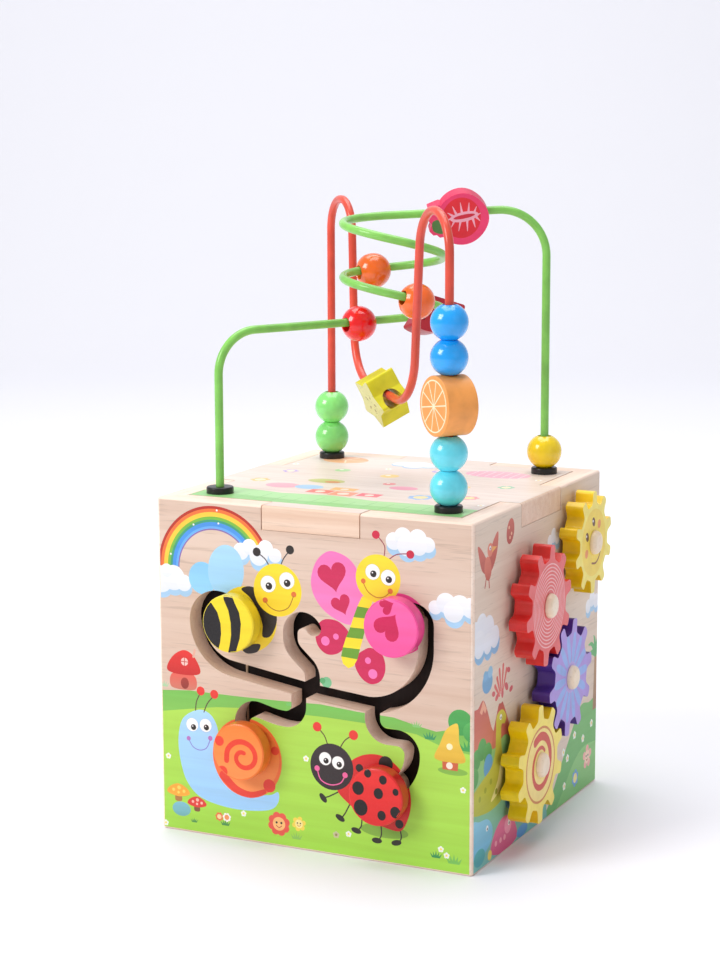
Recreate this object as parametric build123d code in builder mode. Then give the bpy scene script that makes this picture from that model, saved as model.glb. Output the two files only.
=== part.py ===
from build123d import *
import os
from math import cos, radians, sin, sqrt

# ---------------------------------------------------------------------------
# Wooden activity cube: a mitred box with a lift-off lid that carries a bead
# maze, a slider maze in the front wall, turning gears on the right wall, a
# clock on the back wall and a shape sorter in the left wall.
# Millimetres, +Z up.  The origin is the bottom centre of the box, the slider
# maze faces -Y and the gears face +X.
# ---------------------------------------------------------------------------

# Box
SIDE = 200.0
HALF = SIDE / 2
WALL = 13.0
INNER = HALF - WALL
CORNER_R = 2.0
EDGE_R = 1.5
LID_T = 14.0
LID_GAP = 0.7
TONGUE_HALF = 30.7
NOTCH_HALF = 31.4
SEAT_GAP = 0.2
BASE_T = 6.0
BASE_GAP = 0.4
CLEAT = 10.0
CLEAT_LENGTH = 120.0
SCREW_HEAD_R = 3.2
SCREW_HEAD_T = 1.6
SCREW_R = 1.5
BASE_SCREW_LENGTH = 8.0
BASE_SCREW_X = 52.2

# Slider maze in the front wall
SLOT_W = 9.5
CAVITY = 6.0
BACKING_T = 3.0
BACKING_LOW = 24.0
BACKING_HIGH = 166.0
SPACER_SIDE = 4.0
SPACER_END = 8.0
BACKING_SCREW_LENGTH = 10.0
BACKING_SCREW_X = (-76.0, -26.0, 25.0, 76.0)
SEAM_X = -51.5
SEAM_W = 1.2
RIB_DEPTH = 1.0
SIDE_CLEAR = 0.5
KNOB_R = 16.75
KNOB_T = 9.0
KNOB_GAP = 3.0
KNOB_EDGE = 1.0
STEM_R = 4.0
RETAINER_R = 8.0
RETAINER_T = 3.0
RETAINER_PLAY = 0.8

# Centre lines of the slider maze, as places (x, z) on the front face
BEE_ARC = (-60.5, 129.5)
BEE_ARC_R = 13.7
BEE_END_ANGLE = 10.5
BEE_SWEEP_R = 27.0
BEE_SWEEP_TURN = 81.5
CROSSING = (2.0, 94.7)
FORK = (36.5, 91.5)
BUTTERFLY_SWEEP_R = 35.1
BUTTERFLY_ARC_R = 8.0
BUTTERFLY_ARC_Z = 140.0
HOOK_FOOT = (1.0, 94.7)
HOOK_RISE = 8.3
HOOK_LEAN = 48.0
HOOK_LEAN_R = 10.0
HOOK_SLOPE = 9.1
HOOK_STRAIGHTEN_R = 12.0
HOOK_CLIMB = 2.6
HOOK_R = 8.0
HOOK_TURN = 150.0
SNAIL_START = (-7.9, 95.6)
SNAIL_FALL = 10.1
SNAIL_BEND_R = 8.5
SNAIL_DRIFT = 14.0
SNAIL_DRIFT_R = 40.0
SNAIL_LEVEL = 8.0
SNAIL_DROP = 120.0
SNAIL_DROP_R = 9.0
SNAIL_RUN = 12.3
LADYBUG_ARC = (39.5, 65.0)
LADYBUG_ARC_R = 23.8
LADYBUG_TURN = 74.0
LADYBUG_BEND_R = 9.4
LADYBUG_FALL_X = 38.7

# Gears, as places (y, z) on the right face
GEAR_T = 11.0
GEAR_GAP = 3.0
GEAR_TEETH = 10
GEAR_TIP_R = 35.0
GEAR_ROOT_R = 26.5
GEAR_ROOT_HALF = 4.6
GEAR_TIP_HALF = 3.3
GEAR_ROOT_FILLET = 3.2
GEAR_TIP_FILLET = 2.2
TOOTH_DEPTH = 4.0
SUN_SCALE = 31.0 / 35.0
MESH_DISTANCE = 63.0
PURPLE_AT = (15.0, 89.0)
RED_DIRECTION = 125.96
YELLOW_DIRECTION = 220.1
SUN_AT = (51.0, 164.0)
PURPLE_PHASE = 8.0
RED_PHASE = 9.9
YELLOW_PHASE = 18.2
SUN_PHASE = 16.4
AXLE_R = 5.0
RUNNING = 0.05
CAP_R = 7.2
CAP_RISE = 2.9
CAP_RIM = 0.7
WASHER_R = 9.0
PLAY = 0.3

# Bead maze on the lid
POST = 73.0
WIRE_R = 2.5
GROMMET_R = 8.0
GROMMET_H = 4.0
GROMMET_EDGE = 1.0
BEAD_R = 10.7
BEAD_HALF = 9.65
BORE_R = 4.1
BEAD_LIP = 0.25
BEAD_PLAY = 0.05
RUN_HANG = 1.2
CURVE_HANG = 0.9
CURVE_SHIFT = 0.7
SPIRAL_AT = (3.9, 1.9)
SPIRAL_R = 29.5
SPIRAL_CORNERS = 17
SPIRAL_TURNING = 752.0
SPIRAL_ENTRY = 150.5
SPIRAL_LOW = 294.7
SPIRAL_HIGH = 360.7
SPIRAL_LEAN = 3.0
SPIRAL_LEAN_AT = 109.0
GREEN_RUN_Z = 294.2
GREEN_EXIT_Z = 362.5
GREEN_FIRST_R = 25.0
GREEN_BEND_R = 28.0
ARCH_Z = 366.0
LEFT_ARCH_X = -62.8
RIGHT_ARCH_X = 58.9
VALLEY_LEFT = (-57.0, 258.3)
VALLEY_RIGHT = (46.0, 250.6)
LEFT_ARCH_R = 19.8
RIGHT_ARCH_R = 23.2
VALLEY_R = 30.0
ORANGE_HIGH_TURN = 370.6
ORANGE_LOW_TURN = 187.2
WEDGE_TURN = 100.0
RED_BEAD_RUN = 98.6
BERRY_RUN = 42.0
SLICE_R = 17.0
SLICE_T = 19.0
SLICE_EDGE = 0.8
SLICE_FACING = (-0.616, -0.788, 0)
STAR_T = 18.5
STAR_TIP_R = 17.8
STAR_VALLEY_R = 11.2
STAR_EDGE = 1.4
STAR_BORE_R = 5.8
STAR_ALONG = -4.0
STAR_HANG = 2.0
STAR_TURN = -8.0
STAR_FACING = Vector(-0.609, -0.659, -0.442)
WEDGE_T = 16.0
WEDGE_R = 22.0
WEDGE_POINT = (-5.3, 11.0)
WEDGE_START = 230.0
WEDGE_SPREAD = 112.0
WEDGE_EDGE = 1.5
WEDGE_BORE_R = 5.0
BERRY_T = 10.0
BERRY_BORE_R = 3.6
BERRY_HANG = 0.9
BERRY_TILT = 17.0
BERRY_BODY = [(-13.4, -3.1), (-9.5, 8.8), (1.5, 13.2), (12.5, 7.6), (17.1, -2.2), (13.6, -12.6), (2.5, -19.4),
              (-9.0, -15.8)]
BERRY_LEAVES = [(-8.0, 5.0), (-13.0, 6.4), (-19.8, 3.8), (-17.0, 0.6), (-19.6, -3.2), (-17.6, -6.0),
                (-19.0, -10.2), (-16.6, -12.8), (-14.6, -12.6), (-12.6, -14.4), (-9.6, -13.8), (-6.0, -6.0)]
WIRE_FOOT_Z = 181.0
FOOT_NUT_R = 5.5
FOOT_NUT_T = 4.0

# Clock on the back wall, as places on the back face
CLOCK_Z = 100.0
CLOCK_PIN_R = 4.0
HAND_T = 4.0
HAND_HUB_R = 9.0
HAND_W = 11.0
HAND_WAIST = 7.7
HAND_POINT_R = 1.5
HAND_PLAY = 0.3
HOUR_LENGTH = 36.0
MINUTE_LENGTH = 52.0
HOUR_ANGLE = 150.0
MINUTE_ANGLE = 60.0

# Shape sorter in the left wall, as places on the left face
SORTER_X = 44.0
SORTER_LOW = 56.0
SORTER_HIGH = 134.0
SORTER_ROUND_R = 20.0
SORTER_SQUARE = 35.0
SORTER_CORNER_R = 2.0
SORTER_TRIANGLE = 44.0
SORTER_HEXAGON_R = 21.0

# Outer faces of the four walls: local x runs right as seen from outside, local y is height
front_face = Plane(origin=(0, -HALF, 0), x_dir=(1, 0, 0), z_dir=(0, -1, 0))
right_face = Plane(origin=(HALF, 0, 0), x_dir=(0, 1, 0), z_dir=(1, 0, 0))
back_face = Plane(origin=(0, HALF, 0), x_dir=(-1, 0, 0), z_dir=(0, 1, 0))
left_face = Plane(origin=(-HALF, 0, 0), x_dir=(0, -1, 0), z_dir=(-1, 0, 0))
diagonal = Plane(origin=(0, 0, 0), x_dir=(1, -1, 0), z_dir=(-1, -1, 0))

os.makedirs("parts", exist_ok=True)


def save(builder, name):
    """Label a finished piece and write it to its own file."""
    builder.part.label = name
    export_step(builder.part, f"parts/{name}.step")


def polar(centre, radius, angle):
    """Point at a radius and an angle in degrees round a centre."""
    return (centre[0] + radius * cos(radians(angle)), centre[1] + radius * sin(radians(angle)))


def flat(vector):
    """First two coordinates of a vector."""
    return (vector.X, vector.Y)


# ---------------------------------------------------------------------------
# Box
# ---------------------------------------------------------------------------

def wall_blank(turn):
    """Mitred wall with a notch for a lid tongue, made at the front and turned about Z."""
    with BuildPart() as blank:
        with BuildSketch(Plane.XY):
            RectangleRounded(SIDE, SIDE, CORNER_R)
            with BuildLine():
                Polyline((-HALF, -HALF), (HALF, -HALF), (INNER, -INNER), (-INNER, -INNER), close=True)
            make_face(mode=Mode.INTERSECT)
        extrude(amount=SIDE)
        rims = blank.edges().filter_by(Axis.X).group_by(Axis.Y)[0]
        fillet(rims, radius=EDGE_R)
        with BuildSketch(front_face):
            with Locations((0, SIDE - LID_T / 2)):
                Rectangle(2 * NOTCH_HALF, LID_T)
        extrude(amount=-WALL, mode=Mode.SUBTRACT)
    return blank.part.rotate(Axis.Z, turn)


def bee_branch():
    """Loop that ends under the bee, then the long run to the crossing."""
    sweep_at = (BEE_ARC[0] - BEE_ARC_R + BEE_SWEEP_R, BEE_ARC[1])
    CenterArc(BEE_ARC, BEE_ARC_R, BEE_END_ANGLE, 180 - BEE_END_ANGLE)
    bend = CenterArc(sweep_at, BEE_SWEEP_R, 180, BEE_SWEEP_TURN)
    Line(bend @ 1, CROSSING)


def butterfly_branch():
    """Run from the crossing past the fork and round to the butterfly."""
    Line(CROSSING, FORK)
    sweep = CenterArc((FORK[0], FORK[1] + BUTTERFLY_SWEEP_R), BUTTERFLY_SWEEP_R, 270, 90)
    rise = Line(sweep @ 1, (FORK[0] + BUTTERFLY_SWEEP_R, BUTTERFLY_ARC_Z))
    JernArc(rise @ 1, rise % 1, BUTTERFLY_ARC_R, 180)


def hook_branch():
    """Short blind branch that rises from the crossing and curls over."""
    rise = Line(HOOK_FOOT, (HOOK_FOOT[0], HOOK_FOOT[1] + HOOK_RISE))
    lean = JernArc(rise @ 1, rise % 1, HOOK_LEAN_R, HOOK_LEAN)
    slope = PolarLine(lean @ 1, HOOK_SLOPE, direction=lean % 1)
    straighten = JernArc(slope @ 1, slope % 1, HOOK_STRAIGHTEN_R, -HOOK_LEAN)
    climb = PolarLine(straighten @ 1, HOOK_CLIMB, direction=straighten % 1)
    return JernArc(climb @ 1, climb % 1, HOOK_R, -HOOK_TURN)


def snail_branch():
    """Branch that falls from the long run, goes left and drops to the snail."""
    fall = Line(SNAIL_START, (SNAIL_START[0], SNAIL_START[1] - SNAIL_FALL))
    turn = JernArc(fall @ 1, fall % 1, SNAIL_BEND_R, -90)
    drift = JernArc(turn @ 1, turn % 1, SNAIL_DRIFT_R, -SNAIL_DRIFT)
    level = PolarLine(drift @ 1, SNAIL_LEVEL, direction=drift % 1)
    drop = JernArc(level @ 1, level % 1, SNAIL_DROP_R, SNAIL_DROP)
    return PolarLine(drop @ 1, SNAIL_RUN, direction=drop % 1)


def ladybug_branch():
    """Branch that falls from the fork, goes right and curls down to the ladybug."""
    top_z = LADYBUG_ARC[1] + LADYBUG_BEND_R
    right_x = LADYBUG_ARC[0] + LADYBUG_ARC_R
    fall = Line((LADYBUG_FALL_X, FORK[1]), (LADYBUG_FALL_X, top_z + LADYBUG_BEND_R))
    foot = JernArc(fall @ 1, fall % 1, LADYBUG_BEND_R, 90)
    level = Line(foot @ 1, (right_x - LADYBUG_BEND_R, top_z))
    JernArc(level @ 1, level % 1, LADYBUG_BEND_R, -90)
    CenterArc(LADYBUG_ARC, LADYBUG_ARC_R, 0, -LADYBUG_TURN)


BUTTERFLY_ARC = (FORK[0] + BUTTERFLY_SWEEP_R - BUTTERFLY_ARC_R, BUTTERFLY_ARC_Z)
with BuildLine():
    hook_curl = hook_branch()
    snail_run = snail_branch()
bee_rest = polar(BEE_ARC, BEE_ARC_R, BEE_END_ANGLE)
butterfly_rest = polar(BUTTERFLY_ARC, BUTTERFLY_ARC_R, 180)
snail_rest = flat(snail_run @ 1)
ladybug_rest = polar(LADYBUG_ARC, LADYBUG_ARC_R, -LADYBUG_TURN)
slot_ends = [bee_rest, butterfly_rest, snail_rest, ladybug_rest, flat(hook_curl @ 1)]

inside_face = front_face.offset(-WALL)
backing_face = inside_face.offset(-CAVITY)
backing_screw_places = [(x, z) for x in BACKING_SCREW_X
                        for z in (BACKING_LOW + SPACER_END / 2, BACKING_HIGH - SPACER_END / 2)]


def screws(plane, places, length):
    """Screws with their heads let in level with a plane, pointing along its normal."""
    with BuildPart() as fasteners:
        with BuildSketch(plane):
            with Locations(*places):
                Circle(SCREW_HEAD_R)
        extrude(amount=SCREW_HEAD_T)
        with BuildSketch(plane.offset(SCREW_HEAD_T)):
            with Locations(*places):
                Circle(SCREW_R)
        extrude(amount=length)
    return fasteners


backing_screws = screws(backing_face.offset(-BACKING_T), backing_screw_places, BACKING_SCREW_LENGTH)
save(backing_screws, "backing_screws")

front_blank = wall_blank(0)
with BuildPart() as front_panel:
    add(front_blank)
    with BuildSketch(front_face):
        for branch in (bee_branch, butterfly_branch, hook_branch, snail_branch, ladybug_branch):
            with BuildLine():
                branch()
            trace(line_width=SLOT_W)
        with Locations(*slot_ends, CROSSING, SNAIL_START, FORK):
            Circle(SLOT_W / 2)
    extrude(amount=-WALL, mode=Mode.SUBTRACT)
    add(backing_screws.part, mode=Mode.SUBTRACT)
save(front_panel, "front_panel")


red_at = polar(PURPLE_AT, MESH_DISTANCE, RED_DIRECTION)
yellow_at = polar(PURPLE_AT, MESH_DISTANCE, YELLOW_DIRECTION)
gear_places = [SUN_AT, red_at, PURPLE_AT, yellow_at]

right_blank = wall_blank(90)
with BuildPart() as right_panel:
    add(right_blank)
    with BuildSketch(right_face):
        with Locations(*gear_places):
            Circle(AXLE_R)
    extrude(amount=-WALL, mode=Mode.SUBTRACT)
save(right_panel, "right_panel")

back_blank = wall_blank(180)
with BuildPart() as back_panel:
    add(back_blank)
    with BuildSketch(back_face):
        with Locations((0, CLOCK_Z)):
            Circle(CLOCK_PIN_R)
    extrude(amount=-WALL, mode=Mode.SUBTRACT)
save(back_panel, "back_panel")

left_blank = wall_blank(270)
with BuildPart() as left_panel:
    add(left_blank)
    with BuildSketch(left_face):
        with Locations((-SORTER_X, SORTER_HIGH)):
            Circle(SORTER_ROUND_R)
        with Locations((SORTER_X, SORTER_HIGH)):
            RectangleRounded(SORTER_SQUARE, SORTER_SQUARE, SORTER_CORNER_R)
        with Locations((-SORTER_X, SORTER_LOW)):
            RegularPolygon(SORTER_TRIANGLE / sqrt(3), 3, rotation=90)
        with Locations((SORTER_X, SORTER_LOW)):
            RegularPolygon(SORTER_HEXAGON_R, 6)
    extrude(amount=-WALL, mode=Mode.SUBTRACT)
save(left_panel, "left_panel")

base_half = INNER - BASE_GAP
screw_places = [(x * BASE_SCREW_X, side * (INNER - CLEAT / 2)) for x in (-1, 1) for side in (-1, 1)]
screw_places += [(y, x) for x, y in screw_places]

base_screws = screws(Plane.XY, screw_places, BASE_SCREW_LENGTH)
save(base_screws, "base_screws")

with BuildPart() as base_panel:
    with BuildSketch(Plane.XY):
        Rectangle(2 * base_half, 2 * base_half)
    extrude(amount=BASE_T)
    add(base_screws.part, mode=Mode.SUBTRACT)
save(base_panel, "base_panel")

with BuildPart() as base_cleats:
    with BuildSketch(Plane.XY.offset(BASE_T)):
        with PolarLocations(INNER - CLEAT / 2, 4):
            Rectangle(CLEAT, CLEAT_LENGTH)
    extrude(amount=CLEAT)
    add(base_screws.part, mode=Mode.SUBTRACT)
save(base_cleats, "base_cleats")

# ---------------------------------------------------------------------------
# Slider maze: spacers and dark backing boards behind the front wall
# ---------------------------------------------------------------------------

cavity_half = INNER - SIDE_CLEAR
backing_middle = (BACKING_LOW + BACKING_HIGH) / 2
backing_height = BACKING_HIGH - BACKING_LOW

with BuildPart() as maze_spacers:
    with BuildSketch(inside_face):
        for side in (-1, 1):
            with Locations((side * (cavity_half - SPACER_SIDE / 2), backing_middle)):
                Rectangle(SPACER_SIDE, backing_height)
        for z in (BACKING_LOW + SPACER_END / 2, BACKING_HIGH - SPACER_END / 2):
            with Locations((0, z)):
                Rectangle(2 * (cavity_half - SPACER_SIDE) - SIDE_CLEAR, SPACER_END)
    extrude(amount=-CAVITY)
    add(backing_screws.part, mode=Mode.SUBTRACT)
save(maze_spacers, "maze_spacers")


def backing_board(low_x, high_x):
    """Dark board that closes the maze from behind."""
    with BuildPart() as board:
        with BuildSketch(backing_face):
            with Locations(((low_x + high_x) / 2, backing_middle)):
                Rectangle(high_x - low_x, backing_height)
        extrude(amount=-BACKING_T)
        add(backing_screws.part, mode=Mode.SUBTRACT)
    return board


maze_backing_left = backing_board(-cavity_half, SEAM_X - SEAM_W / 2)
save(maze_backing_left, "maze_backing_left")
maze_backing_right = backing_board(SEAM_X + SEAM_W / 2, cavity_half)
save(maze_backing_right, "maze_backing_right")

with BuildPart() as maze_batten:
    with BuildSketch(backing_face.offset(-BACKING_T)):
        with Locations((SEAM_X, backing_middle)):
            Rectangle(2 * CLEAT, backing_height)
    extrude(amount=-BACKING_T)
    with BuildSketch(backing_face.offset(-BACKING_T)):
        with Locations((SEAM_X, backing_middle)):
            Rectangle(SEAM_W, backing_height - 2 * SPACER_END - SIDE_CLEAR)
    extrude(amount=BACKING_T + RIB_DEPTH)
save(maze_batten, "maze_batten")


def slider(name, place):
    """Round printed knob, its stem through the slot and the disc that keeps it there."""
    knob_face = front_face.offset(KNOB_GAP)
    with BuildPart() as knob:
        with BuildSketch(knob_face):
            with Locations(place):
                Circle(KNOB_R)
        extrude(amount=KNOB_T)
        fillet(knob.edges().filter_by(GeomType.CIRCLE), radius=KNOB_EDGE)
        with BuildSketch(knob_face):
            with Locations(place):
                Circle(STEM_R)
        extrude(amount=KNOB_T / 2, mode=Mode.SUBTRACT)
    save(knob, f"{name}_knob")
    with BuildPart() as stem:
        with BuildSketch(knob_face.offset(KNOB_T / 2)):
            with Locations(place):
                Circle(STEM_R)
        extrude(amount=-(KNOB_T / 2 + KNOB_GAP + WALL + RETAINER_PLAY + RETAINER_T))
    save(stem, f"{name}_stem")
    with BuildPart() as retainer:
        with BuildSketch(inside_face.offset(-RETAINER_PLAY)):
            with Locations(place):
                Circle(RETAINER_R)
                Circle(STEM_R, mode=Mode.SUBTRACT)
        extrude(amount=-RETAINER_T)
    save(retainer, f"{name}_retainer")


slider("bee", bee_rest)
slider("butterfly", butterfly_rest)
slider("snail", snail_rest)
slider("ladybug", ladybug_rest)

# ---------------------------------------------------------------------------
# Gears on the right wall
# ---------------------------------------------------------------------------

def gear_outline(scale):
    """Ten rounded teeth round a hub, first tooth along local x."""
    root_r = GEAR_ROOT_R * scale
    tip_r = GEAR_TIP_R * scale
    foot_r = root_r - TOOTH_DEPTH
    root_half = GEAR_ROOT_HALF * scale
    tip_half = GEAR_TIP_HALF * scale
    with BuildSketch() as tooth:
        with BuildLine():
            Polyline((foot_r, -root_half), (tip_r, -tip_half), (tip_r, tip_half), (foot_r, root_half),
                     close=True)
        make_face()
    with BuildSketch() as outline:
        Circle(root_r)
        with PolarLocations(0, GEAR_TEETH):
            add(tooth.sketch)
        corners = [v for v in outline.vertices() if v.center().length < root_r + scale]
        fillet(corners, radius=GEAR_ROOT_FILLET * scale)
        tips = [v for v in outline.vertices() if v.center().length > tip_r - scale / 2]
        fillet(tips, radius=GEAR_TIP_FILLET * scale)
    return outline.sketch


def gear(name, place, phase, scale):
    """Wheel bored to run on its axle, held a little way off the wall."""
    shape = gear_outline(scale)
    with BuildPart() as wheel:
        with BuildSketch(right_face.offset(GEAR_GAP)):
            with Locations(place):
                add(shape, rotation=phase)
                Circle(AXLE_R + RUNNING, mode=Mode.SUBTRACT)
        extrude(amount=GEAR_T)
    save(wheel, name)


gear("gear_sun", SUN_AT, SUN_PHASE, SUN_SCALE)
gear("gear_red", red_at, RED_PHASE, 1.0)
gear("gear_purple", PURPLE_AT, PURPLE_PHASE, 1.0)
gear("gear_yellow", yellow_at, YELLOW_PHASE, 1.0)


def capped_pin(plane, places, pin_r, cap_at):
    """Pins fixed through a wall, each with a domed wooden cap."""
    with BuildPart() as pin:
        with BuildSketch(plane.offset(-WALL)):
            with Locations(*places):
                Circle(pin_r)
        extrude(amount=WALL + cap_at)
        with BuildSketch(plane.offset(cap_at)):
            with Locations(*places):
                Circle(CAP_R)
        extrude(amount=CAP_RISE + CAP_RIM)
        rims = pin.edges().filter_by(GeomType.CIRCLE).sort_by(Axis(plane.origin, plane.z_dir))
        fillet(rims[-len(places):], radius=CAP_RISE)
    return pin


def washers(plane, places, bore_r, thickness):
    """Flat rings that keep turning pieces off the wall."""
    with BuildPart() as rings:
        with BuildSketch(plane):
            with Locations(*places):
                Circle(WASHER_R)
                Circle(bore_r, mode=Mode.SUBTRACT)
        extrude(amount=thickness)
    return rings


gear_axles = capped_pin(right_face, gear_places, AXLE_R, GEAR_GAP + GEAR_T + PLAY)
save(gear_axles, "gear_axles")
gear_washers = washers(right_face, gear_places, AXLE_R, GEAR_GAP - PLAY)
save(gear_washers, "gear_washers")

# ---------------------------------------------------------------------------
# Clock on the back wall
# ---------------------------------------------------------------------------

clock_at = (0, CLOCK_Z)
hour_z = GEAR_GAP
minute_z = hour_z + HAND_T + GEAR_GAP - PLAY
clock_pin = capped_pin(back_face, [clock_at], CLOCK_PIN_R, minute_z + HAND_T + PLAY)
save(clock_pin, "clock_pin")
clock_washer = washers(back_face, [clock_at], CLOCK_PIN_R, hour_z - PLAY)
save(clock_washer, "clock_washer")
hand_washer_plane = back_face.offset(hour_z + HAND_T + PLAY)
hand_washer = washers(hand_washer_plane, [clock_at], CLOCK_PIN_R, GEAR_GAP - 3 * PLAY)
save(hand_washer, "hand_washer")


def clock_hand(name, height, length, angle):
    """Pointed wooden hand with a round hub."""
    half = HAND_W / 2
    with BuildSketch() as outline:
        with BuildLine():
            Polyline((0, -HAND_WAIST / 2), (length - half, -half), (length + half, 0), (length - half, half),
                     (0, HAND_WAIST / 2), close=True)
        make_face()
        Circle(HAND_HUB_R)
        corners = [v for v in outline.vertices() if v.X > length / 2]
        fillet(corners, radius=HAND_POINT_R)
    with BuildPart() as hand:
        with BuildSketch(back_face.offset(height)):
            with Locations(clock_at):
                add(outline.sketch, rotation=angle)
                Circle(CLOCK_PIN_R + RUNNING, mode=Mode.SUBTRACT)
        extrude(amount=HAND_T)
    save(hand, name)


clock_hand("hour_hand", hour_z, HOUR_LENGTH, HOUR_ANGLE)
clock_hand("minute_hand", minute_z, MINUTE_LENGTH, MINUTE_ANGLE)

# ---------------------------------------------------------------------------
# Wires of the bead maze
# ---------------------------------------------------------------------------

POST_Q = POST * sqrt(2)
SPIRAL_STEP = SPIRAL_TURNING / SPIRAL_CORNERS


def spiral_point(turned, radius):
    """Point of the rising spiral after a clockwise turn in degrees."""
    angle = SPIRAL_ENTRY - turned
    x, y = polar(SPIRAL_AT, radius, angle)
    climb = (SPIRAL_HIGH - SPIRAL_LOW) * turned / SPIRAL_TURNING
    return Vector(x, y, SPIRAL_LOW + climb + SPIRAL_LEAN * cos(radians(angle + SPIRAL_LEAN_AT)))


def rod(path, start):
    """Round wire swept along a path that starts straight up."""
    with BuildPart() as wire:
        with BuildSketch(Plane(origin=start)):
            Circle(WIRE_R)
        sweep(path=path)
    return wire


corner_r = SPIRAL_R / cos(radians(SPIRAL_STEP / 2))
green_start = Vector(-POST, -POST, WIRE_FOOT_Z)
green_corners = [green_start, Vector(-POST, -POST, GREEN_RUN_Z)]
green_corners += [spiral_point((k + 0.5) * SPIRAL_STEP, corner_r) for k in range(SPIRAL_CORNERS)]
green_corners += [Vector(POST, POST, GREEN_EXIT_Z), Vector(POST, POST, WIRE_FOOT_Z)]
with BuildLine() as green_path:
    FilletPolyline(*green_corners, radius=[GREEN_FIRST_R] + [GREEN_BEND_R] * (SPIRAL_CORNERS + 1))
green_wire = rod(green_path.line, green_start)
save(green_wire, "green_wire")

red_start = diagonal.from_local_coords(Vector(-POST_Q, WIRE_FOOT_Z, 0))
with BuildLine(diagonal) as red_path:
    FilletPolyline((-POST_Q, WIRE_FOOT_Z), (-POST_Q, ARCH_Z), (LEFT_ARCH_X, ARCH_Z), VALLEY_LEFT,
                   VALLEY_RIGHT, (RIGHT_ARCH_X, ARCH_Z), (POST_Q, ARCH_Z), (POST_Q, WIRE_FOOT_Z),
                   radius=[LEFT_ARCH_R, LEFT_ARCH_R, VALLEY_R, VALLEY_R, RIGHT_ARCH_R, RIGHT_ARCH_R])
red_wire = rod(red_path.line, red_start)
save(red_wire, "red_wire")

# ---------------------------------------------------------------------------
# Lid
# ---------------------------------------------------------------------------

post_places = [(x * POST, y * POST) for x in (-1, 1) for y in (-1, 1)]
lid_low = SIDE - LID_T + SEAT_GAP
lid_half = INNER - LID_GAP

with BuildPart() as lid:
    with BuildSketch(Plane.XY.offset(lid_low)):
        Rectangle(2 * lid_half, 2 * lid_half)
        Rectangle(SIDE, 2 * TONGUE_HALF)
        Rectangle(2 * TONGUE_HALF, SIDE)
    extrude(amount=SIDE - lid_low)
    top_edges = [(edge, edge.center()) for edge in lid.edges().group_by(Axis.Z)[-1]]
    tongue_ends = [edge for edge, middle in top_edges if max(abs(middle.X), abs(middle.Y)) > HALF - EDGE_R]
    fillet(tongue_ends, radius=EDGE_R)
    with BuildSketch(Plane.XY.offset(lid_low)):
        with Locations(*post_places):
            Circle(WIRE_R)
    extrude(amount=SIDE - lid_low, mode=Mode.SUBTRACT)
save(lid, "lid")

with BuildPart() as grommets:
    with BuildSketch(Plane.XY.offset(SIDE)):
        with Locations(*post_places):
            Circle(GROMMET_R)
    extrude(amount=GROMMET_H)
    fillet(grommets.edges().group_by(Axis.Z)[-1], radius=GROMMET_EDGE)
    with BuildSketch(Plane.XY.offset(SIDE)):
        with Locations(*post_places):
            Circle(WIRE_R)
    extrude(amount=GROMMET_H, mode=Mode.SUBTRACT)
save(grommets, "grommets")

with BuildPart() as wire_nuts:
    with BuildSketch(Plane.XY.offset(lid_low - FOOT_NUT_T)):
        with Locations(*post_places):
            Circle(FOOT_NUT_R)
            Circle(WIRE_R, mode=Mode.SUBTRACT)
    extrude(amount=FOOT_NUT_T)
save(wire_nuts, "wire_nuts")

# ---------------------------------------------------------------------------
# Beads
# ---------------------------------------------------------------------------

def bead(name, centre, direction):
    """Ball with a small flat round each end of its bore."""
    flat_r = sqrt(BEAD_R**2 - BEAD_HALF**2)
    across = direction.cross(Vector(0, 0, 1)) if abs(direction.Z) < 0.9 else Vector(1, 0, 0)
    with BuildPart() as ball:
        with BuildSketch(Plane(origin=centre, x_dir=across, z_dir=across.cross(direction))):
            with BuildLine():
                ThreePointArc((flat_r, -BEAD_HALF), (BEAD_R, 0), (flat_r, BEAD_HALF))
                Polyline((flat_r, BEAD_HALF), (BORE_R + BEAD_LIP, BEAD_HALF), (BORE_R, BEAD_HALF - BEAD_LIP),
                         (BORE_R, BEAD_LIP - BEAD_HALF), (BORE_R + BEAD_LIP, -BEAD_HALF),
                         (flat_r, -BEAD_HALF))
            make_face()
        revolve(axis=Axis(centre, direction))
    save(ball, name)


upright = Vector(0, 0, 1)
bead_pitch = 2 * (BEAD_HALF + BEAD_PLAY)
first_z = SIDE + GROMMET_H + BEAD_HALF + BEAD_PLAY
slice_z = first_z + bead_pitch + BEAD_HALF + SLICE_R + 2 * BEAD_PLAY
blue_z = slice_z + SLICE_R + BEAD_HALF + 2 * BEAD_PLAY
bead("bead_green_low", Vector(-POST, POST, first_z), upright)
bead("bead_green_high", Vector(-POST, POST, first_z + bead_pitch), upright)
bead("bead_teal_low", Vector(POST, -POST, first_z), upright)
bead("bead_teal_high", Vector(POST, -POST, first_z + bead_pitch), upright)
bead("bead_blue_low", Vector(POST, -POST, blue_z), upright)
bead("bead_blue_high", Vector(POST, -POST, blue_z + bead_pitch), upright)
bead("bead_yellow", Vector(POST, POST, first_z), upright)


def spiral_seat(turned):
    """Bead centre and direction where it hangs on the inside of the spiral."""
    direction = (spiral_point(turned + 1, SPIRAL_R) - spiral_point(turned - 1, SPIRAL_R)).normalized()
    centre = spiral_point(turned, SPIRAL_R - CURVE_SHIFT) - Vector(0, 0, CURVE_HANG)
    return centre, direction


bead("bead_orange_high", *spiral_seat(ORANGE_HIGH_TURN))
bead("bead_orange_low", *spiral_seat(ORANGE_LOW_TURN))

run_step = green_corners[2] - green_corners[1]
run_direction = run_step.normalized()
red_bead_at = green_corners[1] + run_direction * RED_BEAD_RUN - Vector(0, 0, RUN_HANG)
bead("bead_red", red_bead_at, run_direction)


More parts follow.
